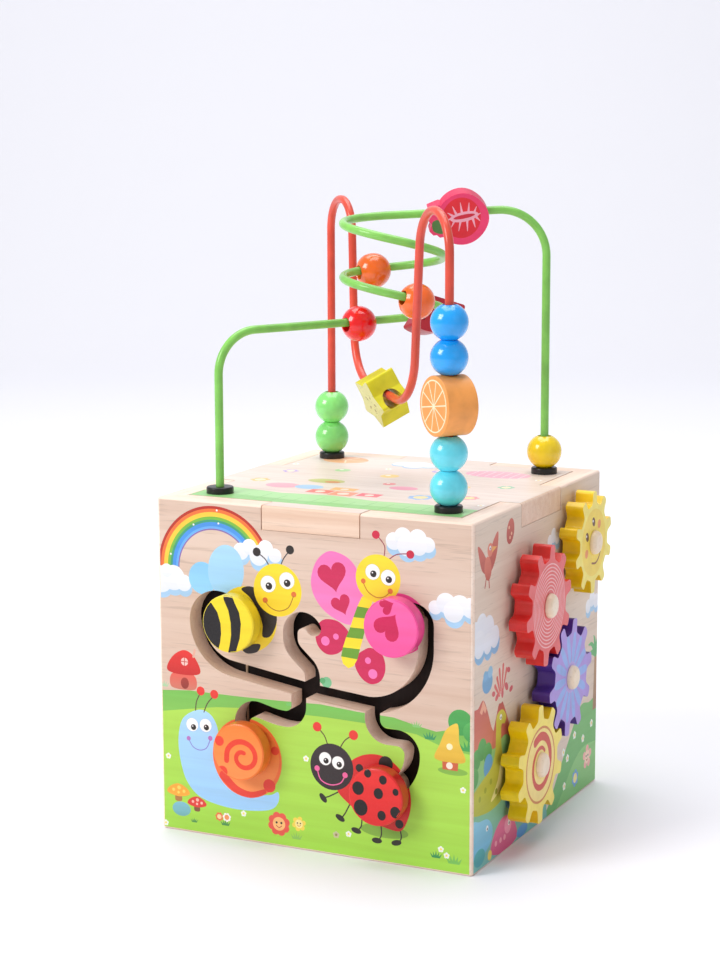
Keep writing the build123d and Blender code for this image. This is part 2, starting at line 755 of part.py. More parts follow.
def bored(blank, centre, direction, bore_r, reach):
    """Blank with a straight bore through its centre."""
    with BuildPart() as piece:
        add(blank)
        with BuildSketch(Plane(origin=centre - direction * reach, z_dir=direction)):
            Circle(bore_r)
        extrude(amount=2 * reach, mode=Mode.SUBTRACT)
    return piece


# Orange slice: a thick disc that stands on edge
slice_at = Vector(POST, -POST, slice_z)
with BuildPart() as slice_blank:
    with BuildSketch(Plane(origin=slice_at, z_dir=SLICE_FACING)):
        Circle(SLICE_R)
    extrude(amount=SLICE_T / 2, both=True)
    fillet(slice_blank.edges().filter_by(GeomType.CIRCLE), radius=SLICE_EDGE)
orange_slice = bored(slice_blank.part, slice_at, upright, BORE_R, SLICE_R + 1)
save(orange_slice, "orange_slice")

# Star fruit: a five-pointed prism that hangs tilted in the dip of the red wire
valley_start = diagonal.from_local_coords(Vector(*VALLEY_LEFT, 0))
valley_run = (diagonal.from_local_coords(Vector(*VALLEY_RIGHT, 0)) - valley_start).normalized()
star_at = valley_start + valley_run * (STAR_ALONG - VALLEY_LEFT[0]) - Vector(0, 0, STAR_HANG)
star_out = STAR_FACING.normalized()
star_right = (valley_run - star_out * valley_run.dot(star_out)).normalized()
with BuildPart() as star_blank:
    with BuildSketch(Plane(origin=star_at, x_dir=star_right, z_dir=star_out)) as star_outline:
        with BuildLine():
            tips = [polar((0, 0), STAR_TIP_R, STAR_TURN + 72 * k) for k in range(5)]
            valleys = [polar((0, 0), STAR_VALLEY_R, STAR_TURN + 36 + 72 * k) for k in range(5)]
            Polyline(*[point for pair in zip(tips, valleys) for point in pair], close=True)
        make_face()
        fillet(star_outline.vertices(), radius=STAR_EDGE)
    extrude(amount=STAR_T / 2, both=True)
star_fruit = bored(star_blank.part, star_at, star_right, STAR_BORE_R, STAR_TIP_R + 1)
save(star_fruit, "star_fruit")

# Strawberry slice on the run out of the spiral: leaves at the left, tip at the right
out_start = spiral_point(SPIRAL_TURNING, SPIRAL_R)
out_direction = (green_corners[-2] - out_start).normalized()
berry_at = out_start + out_direction * BERRY_RUN
berry_side = Plane(origin=berry_at, x_dir=out_direction, z_dir=out_direction.cross(upright))
berry_plane = Plane(berry_side.location * Rotation(BERRY_TILT, 0, 0))
with BuildPart() as berry_blank:
    with BuildSketch(berry_plane):
        with BuildLine():
            Spline(*BERRY_BODY, periodic=True)
        make_face()
        with BuildLine():
            Polyline(*BERRY_LEAVES, close=True)
        make_face()
    extrude(amount=BERRY_T / 2, both=True)
berry_bore = berry_at - Vector(0, 0, BERRY_HANG)
strawberry = bored(berry_blank.part, berry_bore, out_direction, BERRY_BORE_R, SIDE / 8)
save(strawberry, "strawberry")

# Watermelon wedge low on the spiral, skin edge down
wedge_at, wedge_direction = spiral_seat(WEDGE_TURN)
wedge_plane = Plane(origin=wedge_at, x_dir=upright.cross(wedge_direction), z_dir=wedge_direction)
with BuildPart() as wedge_blank:
    with BuildSketch(wedge_plane) as wedge_outline:
        with BuildLine():
            rind = CenterArc(WEDGE_POINT, WEDGE_R, WEDGE_START, WEDGE_SPREAD)
            Polyline(rind @ 1, WEDGE_POINT, rind @ 0)
        make_face()
        fillet(wedge_outline.vertices(), radius=WEDGE_EDGE)
    extrude(amount=WEDGE_T / 2, both=True)
watermelon = bored(wedge_blank.part, wedge_at, wedge_direction, WEDGE_BORE_R, WEDGE_T)
save(watermelon, "watermelon")
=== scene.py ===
import math
import random

import bmesh
import bpy
from mathutils import Matrix, Vector, geometry


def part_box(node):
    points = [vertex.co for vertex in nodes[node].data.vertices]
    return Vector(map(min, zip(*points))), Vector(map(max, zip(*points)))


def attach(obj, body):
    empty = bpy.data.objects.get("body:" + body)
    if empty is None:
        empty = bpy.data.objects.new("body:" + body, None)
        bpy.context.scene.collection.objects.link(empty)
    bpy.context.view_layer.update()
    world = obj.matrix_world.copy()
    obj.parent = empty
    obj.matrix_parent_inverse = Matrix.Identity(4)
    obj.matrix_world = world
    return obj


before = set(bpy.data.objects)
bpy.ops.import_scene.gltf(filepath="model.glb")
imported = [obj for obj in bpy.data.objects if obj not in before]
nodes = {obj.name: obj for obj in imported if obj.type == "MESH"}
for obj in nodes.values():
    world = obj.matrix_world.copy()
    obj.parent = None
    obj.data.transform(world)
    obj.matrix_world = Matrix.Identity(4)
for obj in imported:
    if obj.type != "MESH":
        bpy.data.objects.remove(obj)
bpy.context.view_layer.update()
MM = 0.001
scene = bpy.context.scene

# Colours and node materials


def rgb(code):
    """Screen colour, 0xRRGGBB, as the linear colour that nodes use."""
    values = [(code >> shift & 255) / 255 for shift in (16, 8, 0)]
    return tuple(c / 12.92 if c < 0.04045 else ((c + 0.055) / 1.055) ** 2.4 for c in values)


class Nodes:
    """A material under construction."""

    def __init__(self, name, rough=0.4, coat=0.0, coat_rough=0.2, metal=0.0, ior=1.45):
        self.mat = bpy.data.materials.new(name)
        self.mat.use_nodes = True
        self.tree = self.mat.node_tree
        self.shader = self.tree.nodes["Principled BSDF"]
        given = {"Roughness": rough, "Coat Weight": coat, "Coat Roughness": coat_rough, "Metallic": metal,
            "IOR": ior}
        for socket, value in given.items():
            self.shader.inputs[socket].default_value = value
        self.place = self.add("ShaderNodeTexCoord").outputs["Object"]

    def add(self, kind, settings=None, **inputs):
        node = self.tree.nodes.new(kind)
        for key, value in (settings or {}).items():
            setattr(node, key, value)
        for key, value in inputs.items():
            key = key.replace("_", " ")
            self.feed(node.inputs[key] if not key.isdigit() else node.inputs[int(key)], value)
        return node

    def feed(self, socket, value):
        if isinstance(value, bpy.types.NodeSocket):
            self.tree.links.new(value, socket)
        elif isinstance(value, (tuple, list)) and len(value) == 3 and len(socket.default_value) == 4:
            socket.default_value = (*value, 1.0)
        else:
            socket.default_value = value

    def stretched(self, scale):
        """The place on the piece, times a scale for each axis or one scale for all."""
        node = self.add("ShaderNodeMapping", Vector=self.place)
        node.inputs["Scale"].default_value = scale if isinstance(scale, tuple) else (scale,) * 3
        return node.outputs["Vector"]

    def noise(self, scale, detail=3.0, rough=0.55, distortion=0.0):
        node = self.add("ShaderNodeTexNoise", Vector=self.stretched(scale), Scale=1.0, Detail=detail,
                        Roughness=rough, Distortion=distortion)
        return node.outputs["Fac"]

    def ramp(self, fac, *stops):
        node = self.add("ShaderNodeValToRGB", Fac=fac)
        points = node.color_ramp.elements
        while len(points) < len(stops):
            points.new(0.5)
        for point, (position, colour) in zip(points, stops):
            point.position = position
            point.color = (*colour, 1.0) if len(colour) == 3 else colour
        return node.outputs["Color"]

    def mix(self, fac, a, b, blend="MIX"):
        node = self.add("ShaderNodeMix", {"data_type": "RGBA", "blend_type": blend})
        self.feed(node.inputs[0], fac)
        self.feed(node.inputs[6], a)
        self.feed(node.inputs[7], b)
        return node.outputs[2]

    def math(self, operation, a, b=0.0):
        node = self.add("ShaderNodeMath", {"operation": operation})
        self.feed(node.inputs[0], a)
        self.feed(node.inputs[1], b)
        return node.outputs[0]

    def span(self, fac, low, high):
        """Maps 0..1 to a range."""
        return self.math("ADD", self.math("MULTIPLY", fac, high - low), low)

    def bump(self, height, strength, distance):
        node = self.add("ShaderNodeBump", Height=height, Strength=strength, Distance=distance)
        self.feed(self.shader.inputs["Normal"], node.outputs["Normal"])

    def colour(self, value):
        self.feed(self.shader.inputs["Base Color"], value)

    def roughness(self, value):
        self.feed(self.shader.inputs["Roughness"], value)


GRAIN = {"x": (7, 150, 150), "y": (150, 7, 150), "z": (150, 150, 7)}


def grain(n, axis, base, dark, contrast=1.0):
    """Wood grain: long streaks, broad warm patches and short pores.  Returns its colour and its height."""
    streak_scale = GRAIN[axis]
    fine_scale = tuple(4.5 * s for s in streak_scale)
    streak = n.noise(streak_scale, 4.0, 0.6, 0.6)
    patch = n.noise(tuple(0.16 * s for s in streak_scale), 2.0, 0.5, 0.3)
    pores = n.noise(fine_scale, 2.0, 0.7)
    mixed = n.math("ADD", n.math("MULTIPLY", streak, 0.55), n.math("MULTIPLY", patch, 0.45))
    low, high = 0.5 - 0.16 / contrast, 0.5 + 0.16 / contrast
    tone = n.ramp(mixed, (low, dark), (high, base))
    pore_mask = n.ramp(pores, (0.30, (1, 1, 1)), (0.42, (0, 0, 0)))
    speckled = n.mix(n.math("MULTIPLY", pore_mask, 0.35 * contrast), tone, tuple(0.62 * c for c in dark))
    height = n.math("SUBTRACT", n.math("MULTIPLY", streak, 0.6), n.math("MULTIPLY", pore_mask, 0.5))
    return speckled, height


def wood(name, axis, base, dark, contrast=1.0, rough=0.5, coat=0.12):
    n = Nodes(name, rough=rough, coat=coat, coat_rough=0.35)
    colour, height = grain(n, axis, base, dark, contrast)
    n.colour(colour)
    n.bump(height, 0.25, 0.0002)
    n.roughness(n.span(n.noise(60, 3.0), rough - 0.08, rough + 0.08))
    return n.mat


def ink(name, axis, base, dark, strength=0.975, contrast=1.0, coat=0.05, coat_rough=0.3):
    """Flat print on wood: the print's colour where there is ink, grain where there is none."""
    n = Nodes(name, rough=0.45, coat=coat, coat_rough=coat_rough, ior=1.36)
    bare, height = grain(n, axis, base, dark, contrast)
    layer = n.add("ShaderNodeAttribute", {"attribute_name": "ink"})
    streak = n.noise(GRAIN[axis], 3.0, 0.6, 0.4)
    screen = n.noise(900, 1.0)
    shade = n.ramp(streak, (0.3, (0.92, 0.9, 0.87)), (0.62, (1, 1, 1)))
    printed = n.mix(1.0, layer.outputs["Color"], shade, "MULTIPLY")
    printed = n.mix(n.math("MULTIPLY", screen, 0.015), printed, (1, 1, 1))
    cover = n.math("MULTIPLY", layer.outputs["Alpha"], strength)
    n.colour(n.mix(cover, bare, printed))
    n.bump(height, 0.16, 0.00015)
    n.roughness(n.span(n.noise(45, 4.0), 0.34, 0.5))
    return n.mat


def paint(name, colour, rough=0.25, coat=0.5, wear=0.06, bump=0.12, grain_axis=None):
    """Sprayed paint on turned wood: slight orange peel, faint mottling and lighter rubbed spots."""
    n = Nodes(name, rough=rough, coat=coat, coat_rough=0.12)
    deep = tuple(0.82 * c for c in colour)
    cloudy = n.noise(70, 3.0)
    tone = n.ramp(cloudy, (0.35, deep), (0.62, colour))
    rubbed = n.ramp(n.noise(260, 4.0, 0.7), (0.66, (0, 0, 0)), (0.74, (1, 1, 1)))
    pale = tuple(min(1.0, 0.7 * c + 0.3) for c in colour)
    n.colour(n.mix(n.math("MULTIPLY", rubbed, wear), tone, pale))
    peel = n.noise(420, 2.0)
    if grain_axis:
        under = n.noise(GRAIN[grain_axis], 4.0, 0.6, 0.6)
        peel = n.math("ADD", n.math("MULTIPLY", peel, 0.4), under)
    n.bump(peel, bump, 0.0002)
    n.roughness(n.span(cloudy, max(0.05, rough - 0.07), rough + 0.1))
    return n.mat


def plastic(name, colour, rough=0.35, metal=0.0):
    n = Nodes(name, rough=rough, metal=metal)
    speck = n.noise(900, 2.0)
    n.colour(n.mix(n.math("MULTIPLY", speck, 0.25), colour, tuple(0.7 * c + 0.02 for c in colour)))
    n.bump(speck, 0.1, 0.0001)
    n.roughness(n.span(n.noise(120, 3.0), rough - 0.08, rough + 0.12))
    return n.mat


# The first two colours are the panel bodies' wood, seen in the slots and at the edges. They are lighter than
# the next two, which are the same wood under the print: painted light, standing in for the bounce light
# inside the slots.
BOUNCE_LIT_WOOD = rgb(0xFCE8D8)
BOUNCE_LIT_WOOD_DARK = rgb(0xEECEB8)
PALE = rgb(0xE2C9B7)
PALE_DARK = rgb(0xD2B39E)

# Panel bodies, in the lighter wood colours that carry painted bounce light.
wall_wood = wood("wall_wood", "x", BOUNCE_LIT_WOOD, BOUNCE_LIT_WOOD_DARK)
wall_wood_y = wood("wall_wood_y", "y", BOUNCE_LIT_WOOD, BOUNCE_LIT_WOOD_DARK)
lid_wood = wood("lid_wood", "x", rgb(0xF0D4BE), rgb(0xE0BA9E), contrast=1.1)
plain_wood = wood("plain_wood", "x", rgb(0xDEBC96), rgb(0xC49B73), contrast=1.2, rough=0.6, coat=0.0)
turned_wood = wood("turned_wood", "x", rgb(0xFCECD4), rgb(0xEED2B0), contrast=0.8, rough=0.35, coat=0.4)
dark_board = wood("dark_board", "z", rgb(0x2E1E1A), rgb(0x160C0A), contrast=1.1, rough=0.7, coat=0.0)
batten_wood = wood("batten_wood", "z", rgb(0xEBD0B2), rgb(0xD6B28C), rough=0.6, coat=0.0)
steel = plastic("steel", rgb(0xBEBEC3), rough=0.3, metal=1.0)
nylon = plastic("nylon", rgb(0xECE9E2), rough=0.5)
black_plastic = plastic("black_plastic", rgb(0x141416), rough=0.3)


def coat_all(material, *names):
    for name in names:
        slots = nodes[name].data.materials
        slots.clear()
        slots.append(material)


coat_all(wall_wood, "front_panel", "back_panel")
coat_all(wall_wood_y, "right_panel", "left_panel")
coat_all(lid_wood, "lid")
coat_all(plain_wood, "base_panel", "base_cleats", "maze_spacers")
coat_all(dark_board, "maze_backing_left", "maze_backing_right")
coat_all(batten_wood, "maze_batten")
coat_all(steel, "base_screws", "backing_screws", "wire_nuts")
coat_all(turned_wood, "gear_axles", "clock_pin", *[n for n in nodes if n.endswith(("_stem", "_retainer"))])
coat_all(nylon, "gear_washers", "clock_washer", "hand_washer")
coat_all(black_plastic, "grommets")
BEADS = {"green": 0x8EEE80, "teal": 0x68E2F4, "blue": 0x14AAFF, "yellow": 0xFFDC04,
         "red": 0xFF060C, "orange": 0xFF6E16}
for colour_name, value in BEADS.items():
    bead_paint = paint("bead_" + colour_name, rgb(value), rough=0.2, coat=0.7, wear=0.025)
    coat_all(bead_paint, *[n for n in nodes if n.startswith("bead_" + colour_name)])
WIRE = {"rough": 0.3, "coat": 0.3, "wear": 0.02}
GEAR = {"rough": 0.35, "coat": 0.25, "bump": 0.2, "grain_axis": "y"}
KNOB = {"rough": 0.35, "coat": 0.3}
FRUIT = {"rough": 0.4, "coat": 0.15}
PAINTED = {
    "green_wire": ("wire_green", 0x88D05C, WIRE),
    "red_wire": ("wire_red", 0xE8523C, WIRE),
    "gear_sun": ("gear_sun_paint", 0xFFD408, GEAR),
    "gear_red": ("gear_red_paint", 0xEC3430, GEAR),
    "gear_purple": ("gear_purple_paint", 0x523496, GEAR),
    "gear_yellow": ("gear_yellow_paint", 0xFFD606, GEAR),
    "bee_knob": ("bee_paint", 0xF8DE28, KNOB),
    "butterfly_knob": ("butterfly_paint", 0xF84696, KNOB),
    "snail_knob": ("snail_paint", 0xFA7828, KNOB),
    "ladybug_knob": ("ladybug_paint", 0xDE2826, KNOB),
    "hour_hand": ("hour_paint", 0x286EC8, KNOB),
    "minute_hand": ("minute_paint", 0xE13732, KNOB),
    "orange_slice": ("slice_paint", 0xFFA854, FRUIT),
    "star_fruit": ("star_paint", 0xE8E223, FRUIT),
    "strawberry": ("berry_paint", 0xE21A54, {"rough": 0.45, "coat": 0.1}),
    "watermelon": ("melon_paint", 0xB01E32, FRUIT),
}
for node, (paint_name, value, finish) in PAINTED.items():
    coat_all(paint(paint_name, rgb(value), **finish), node)

# Outlines, in millimetres on a face


def polar(r, degrees, x=0.0, y=0.0):
    """The point at a distance and an angle from a centre."""
    a = math.radians(degrees)
    return x + r * math.cos(a), y + r * math.sin(a)


def turned(outline, degrees, x=0.0, y=0.0):
    """The outline turned about 0, 0, and then moved by x, y."""
    c, s = polar(1, degrees)
    return [(x + u * c - v * s, y + u * s + v * c) for u, v in outline]


def ellipse(x, y, rx, ry=None, tilt=0.0, count=36):
    circle = [polar(1, 360 * k / count) for k in range(count)]
    return turned([(rx * c, (ry or rx) * s) for c, s in circle], tilt, x, y)


def smooth(points, closed=True, steps=6):
    """Catmull-Rom curve through the points."""
    n = len(points)
    out = []
    for i in range(n if closed else n - 1):
        p = [points[(i + k) % n] if closed else points[min(max(i + k, 0), n - 1)] for k in (-1, 0, 1, 2)]
        for j in range(steps):
            t = j / steps
            t2, t3 = t ** 2, t ** 3
            weights = (2 * t2 - t - t3, 2 - 5 * t2 + 3 * t3, t + 4 * t2 - 3 * t3, t3 - t2)
            out.append(tuple(sum(0.5 * w * q[d] for w, q in zip(weights, p)) for d in (0, 1)))
    if not closed:
        out.append(points[-1])
    return out


def stroke(points, width, end_width=None):
    """Outline of a line with round ends that may taper."""
    line = smooth(points, False, 5) if len(points) > 2 else list(points)
    end_width = width if end_width is None else end_width
    left, right = [], []
    last = len(line) - 1
    for i, (x, y) in enumerate(line):
        ax, ay = line[max(i - 1, 0)]
        bx, by = line[min(i + 1, last)]
        length = math.hypot(bx - ax, by - ay) or 1.0
        nx, ny = -(by - ay) / length, (bx - ax) / length
        half = (width + (end_width - width) * i / last) / 2
        left.append((x + nx * half, y + ny * half))
        right.append((x - nx * half, y - ny * half))
        if i == 0:
            start = (-nx, -ny, half)
        if i == last:
            finish = (nx, ny, half)

    def cap(centre, spread):
        nx, ny, half = spread
        base = math.degrees(math.atan2(ny, nx))
        return [polar(half, base - 36 * k, *centre) for k in range(1, 5)]

    return left + cap(line[-1], finish) + right[::-1] + cap(line[0], start)


def band(x, y, inner, outer, start, end, count=40):
    """Part of a ring between two angles."""
    angles = [start + (end - start) * k / count for k in range(count + 1)]
    return [polar(outer, a, x, y) for a in angles] + [polar(inner, a, x, y) for a in reversed(angles)]


def heart(tip, height, tilt, count=30):
    """Heart that stands on its tip and leans by a tilt in degrees."""
    out = []
    for k in range(count):
        t = 2 * math.pi * k / count
        v = 13 * math.cos(t) - 5 * math.cos(2 * t) - 2 * math.cos(3 * t) - math.cos(4 * t) + 17
        out.append((height * 16 * math.sin(t) ** 3 / 30, height * v / 29))
    return turned(out, tilt, *tip)


class Art:
    """Shapes printed on a face, later ones over earlier ones."""

    def __init__(self, ground=None):
        self.shapes = []
        self.ground = ground

    def put(self, outline, colour, low=None):
        """A filled outline; low is its colour at its lowest point."""
        top = rgb(colour)
        self.shapes.append((outline, top, rgb(low) if low else top))

    def blob(self, points, colour, low=None):
        self.put(smooth(points), colour, low)

    def dots(self, colour, *places):
        for x, y, r in places:
            self.dot(x, y, r, colour)

    def dot(self, x, y, r, colour, low=None, ry=None, tilt=0.0):
        self.put(ellipse(x, y, r, ry, tilt, count=40 if r > 8 else 24 if r > 2 else 14), colour, low)

    def line(self, points, width, colour, end_width=None):
        self.put(stroke(points, width, end_width), colour)

    def turned_onto(self, other, degrees):
        for outline, top, low in self.shapes:
            other.shapes.append((turned(outline, degrees), top, low))


def face_loops(node, axis, level, tolerance=0.02 * MM):
    """Outlines of a node's flat face, as loops of points in metres.  axis and level say which face."""
    mesh = nodes[node].data
    place = nodes[node].matrix_world
    key = lambda v: tuple(round(c, 6) for c in v)
    edges = {}
    for poly in mesh.polygons:
        corners = [place @ mesh.vertices[i].co for i in poly.vertices]
        if all(abs(c.dot(axis) - level) < tolerance for c in corners):
            keys = [key(c) for c in corners]
            for a, b in zip(keys, keys[1:] + keys[:1]):
                if (b, a) in edges:
                    del edges[(b, a)]
                else:
                    edges[(a, b)] = True
    follow = {}
    for a, b in edges:
        follow.setdefault(a, []).append(b)
    loops = []
    while follow:
        start = next(iter(follow))
        loop, here = [], start
        while here in follow:
            loop.append(here)
            after = follow[here].pop()
            if not follow[here]:
                del follow[here]
            here = after
        loops.append(loop)
    return loops


def signed_area(points):
    return 0.5 * sum(a[0] * b[1] - b[0] * a[1] for a, b in zip(points, points[1:] + points[:1]))


LIFT = 0.02 * MM
INK = 0.08 * MM


def print_sheet(name, body, material, plane, loops, art, wrap=None):
    """A skin of print on a flat face, cut exactly to the face's outlines.

    plane is (origin, right, up, out), and loops are in millimetres on it.
    wrap bends the skin near its edges: it gives the depth in millimetres at a place.
    """
    origin, right, up, out = plane
    outlines = sorted(loops, key=lambda l: -abs(signed_area(l)))
    holes = len(outlines) - 1
    outlines = outlines + [s[0] for s in art.shapes]
    verts, faces = [], []
    for outline in outlines:
        if signed_area(outline) < 0:
            outline = outline[::-1]
        faces.append(list(range(len(verts), len(verts) + len(outline))))
        verts += [Vector(p) for p in outline]
    points, _, tris, _, _, owners = geometry.delaunay_2d_cdt(verts, [], faces, 1, 1e-4, True)
    spans = [(min(p[1] for p in s[0]), max(p[1] for p in s[0])) for s in art.shapes]
    kept, corner_ink = [], []
    for tri, ids in zip(tris, owners):
        if 0 not in ids or any(1 <= i <= holes for i in ids):
            continue
        top = max(ids) - holes - 1
        corners = [points[i] for i in tri]
        area = signed_area([tuple(c) for c in corners])
        if abs(area) < 1e-7:
            continue
        kept.append(tri if area > 0 else tri[::-1])
        corners = [points[i] for i in kept[-1]]
        if top < 0:
            tint = (*rgb(art.ground), 1.0) if art.ground else (1, 1, 1, 0)
            corner_ink.append([tint] * 3)
        else:
            _, high, low = art.shapes[top]
            z0, z1 = spans[top]
            shades = []
            for c in corners:
                t = (c.y - z0) / max(z1 - z0, 1e-6)
                shades.append((*[l + (h - l) * t for h, l in zip(high, low)], 1.0))
            corner_ink.append(shades)
    used = sorted({i for tri in kept for i in tri})
    index = {old: new for new, old in enumerate(used)}
    count = len(used)

    def at(i, depth):
        p = points[i]
        sink = wrap(p.x, p.y) if wrap else 0.0
        return origin + right * (p.x * MM) + up * (p.y * MM) + out * (depth - sink * MM)

    coords = [at(i, LIFT + INK) for i in used] + [at(i, LIFT) for i in used]
    polys = [[index[i] for i in tri] for tri in kept]
    inks = [shade for shades in corner_ink for shade in shades]
    border = {}
    for poly, shades in zip(polys, corner_ink):
        for k in range(3):
            a, b = poly[k], poly[(k + 1) % 3]
            if (b, a) in border:
                del border[(b, a)]
            else:
                border[(a, b)] = (shades[k], shades[(k + 1) % 3])
    backs = [[i + count for i in reversed(poly)] for poly in polys]
    back_inks = [shade for shades in corner_ink for shade in reversed(shades)]
    sides, side_inks = [], []
    for (a, b), (ink_a, ink_b) in border.items():
        sides.append([b, a, a + count, b + count])
        side_inks += [ink_b, ink_a, ink_a, ink_b]
    mesh = bpy.data.meshes.new(name)
    mesh.from_pydata(coords, [], polys + backs + sides)
    layer = mesh.color_attributes.new("ink", "FLOAT_COLOR", "CORNER")
    layer.data.foreach_set("color", [c for shade in inks + back_inks + side_inks for c in shade])
    mesh.materials.append(material)
    if mesh.validate():
        print("REPAIRED", name)
    sheet = bpy.data.objects.new(name, mesh)
    scene.collection.objects.link(sheet)
    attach(sheet, body)
    return sheet


def on_plane(loops, plane):
    origin, right, up, _ = plane
    return [[((Vector(p) - origin).dot(right) / MM,
        (Vector(p) - origin).dot(up) / MM) for p in loop] for loop in loops]


X, Y, Z = Vector((1, 0, 0)), Vector((0, 1, 0)), Vector((0, 0, 1))
HALF = 0.1


def wall_plane(out, right):
    return (out * HALF, right, Z, out)


FRONT = wall_plane(-Y, X)
RIGHT = wall_plane(X, Y)
BACK = wall_plane(Y, -X)
LEFT = wall_plane(-X, -Y)

WHITE = 0xFCFAFC
CLOUD_BLUE = 0xA8D0F0
MEADOW = 0xB0DD50
MEADOW_LOW = 0xA4DC46
HILL = 0x76C054
BLACK = 0x181214
YELLOW = 0xFDE224
YELLOW_LOW = 0xFAD41C
CHEEK = 0xE0702C
CRIMSON = 0xCE1854
PINK = 0xFA78BE
RED = 0xE8342C


def cloud(art, puffs, drop=3.2, white=WHITE, blue=CLOUD_BLUE):
    for x, y, r in puffs:
        art.dot(x + 0.6, y - drop, r, blue)
    for x, y, r in puffs:
        art.dot(x, y, r, white, 0xE8EEF8)


def daisy(art, x, y, r=1.7, petal=0xF5F8EE, middle=0xFADE6E):
    for k in range(5):
        art.dot(*polar(0.62 * r, 72 * k + 18, x, y), 0.5 * r, petal)
    art.dot(x, y, 0.42 * r, middle)


def daisies(art, places, *look):
    for x, y in places:
        daisy(art, x, y, *look)


def grass(art, x, y, size, colour, blades=5):
    for k in range(blades):
        lean = (k - (blades - 1) / 2) / max(blades - 1, 1)
        tip = (x + lean * size * 1.7, y + size * (1.0 - 0.7 * abs(lean)))
        art.put([(x + lean * size * 0.7 - 0.2 * size, y), (x + lean * size * 0.7 + 0.2 * size, y), tip],
            colour)


def mushroom(art, x, y, rx, ry, cap, dots, stem=0x96643C):
    art.blob([(x - 0.22 * rx, y), (x - 0.3 * rx, y - 0.9 * ry), (x + 0.3 * rx, y - 0.9 * ry),
        (x + 0.22 * rx, y)], stem)
    dome = [(x - rx, y - 0.1 * ry), (x - 0.8 * rx, y + 0.55 * ry), (x, y + ry),
        (x + 0.8 * rx, y + 0.55 * ry), (x + rx, y - 0.1 * ry), (x, y - 0.45 * ry)]
    art.blob(dome, cap)
    for u, v, r in ((-0.45, 0.25, 0.14), (0.05, 0.55, 0.17), (0.5, 0.2, 0.14), (0.0, 0.0, 0.12)):
        art.dot(x + u * rx, y + v * ry, r * rx, dots)


def eye(art, x, y, r, look=(0.1, -0.25), rim=0xCEC478):
    art.dot(x, y, r * 1.06, rim)
    art.dot(x, y, r, 0xFEFEFC)
    px, py = x + look[0] * r, y + look[1] * r
    art.dot(px, py, r * 0.45, BLACK)
    art.dot(px - 0.13 * r, py + 0.15 * r, r * 0.1, WHITE)


def blossom(art, x, y, r, petal, middle, petals=7, eyes=False):
    for k in range(petals):
        art.dot(*polar(0.68 * r, 360 * k / petals + 17.1887, x, y), 0.36 * r, petal)
    art.dot(x, y, 0.58 * r, middle)
    if eyes:
        for side in (-1, 1):
            art.dot(x + side * 0.22 * r, y + 0.1 * r, 0.1 * r, BLACK)
        art.line([(x - 0.25 * r, y - 0.15 * r), (x, y - 0.32 * r), (x + 0.25 * r, y - 0.15 * r)], 0.07 * r,
            0xBE4632)


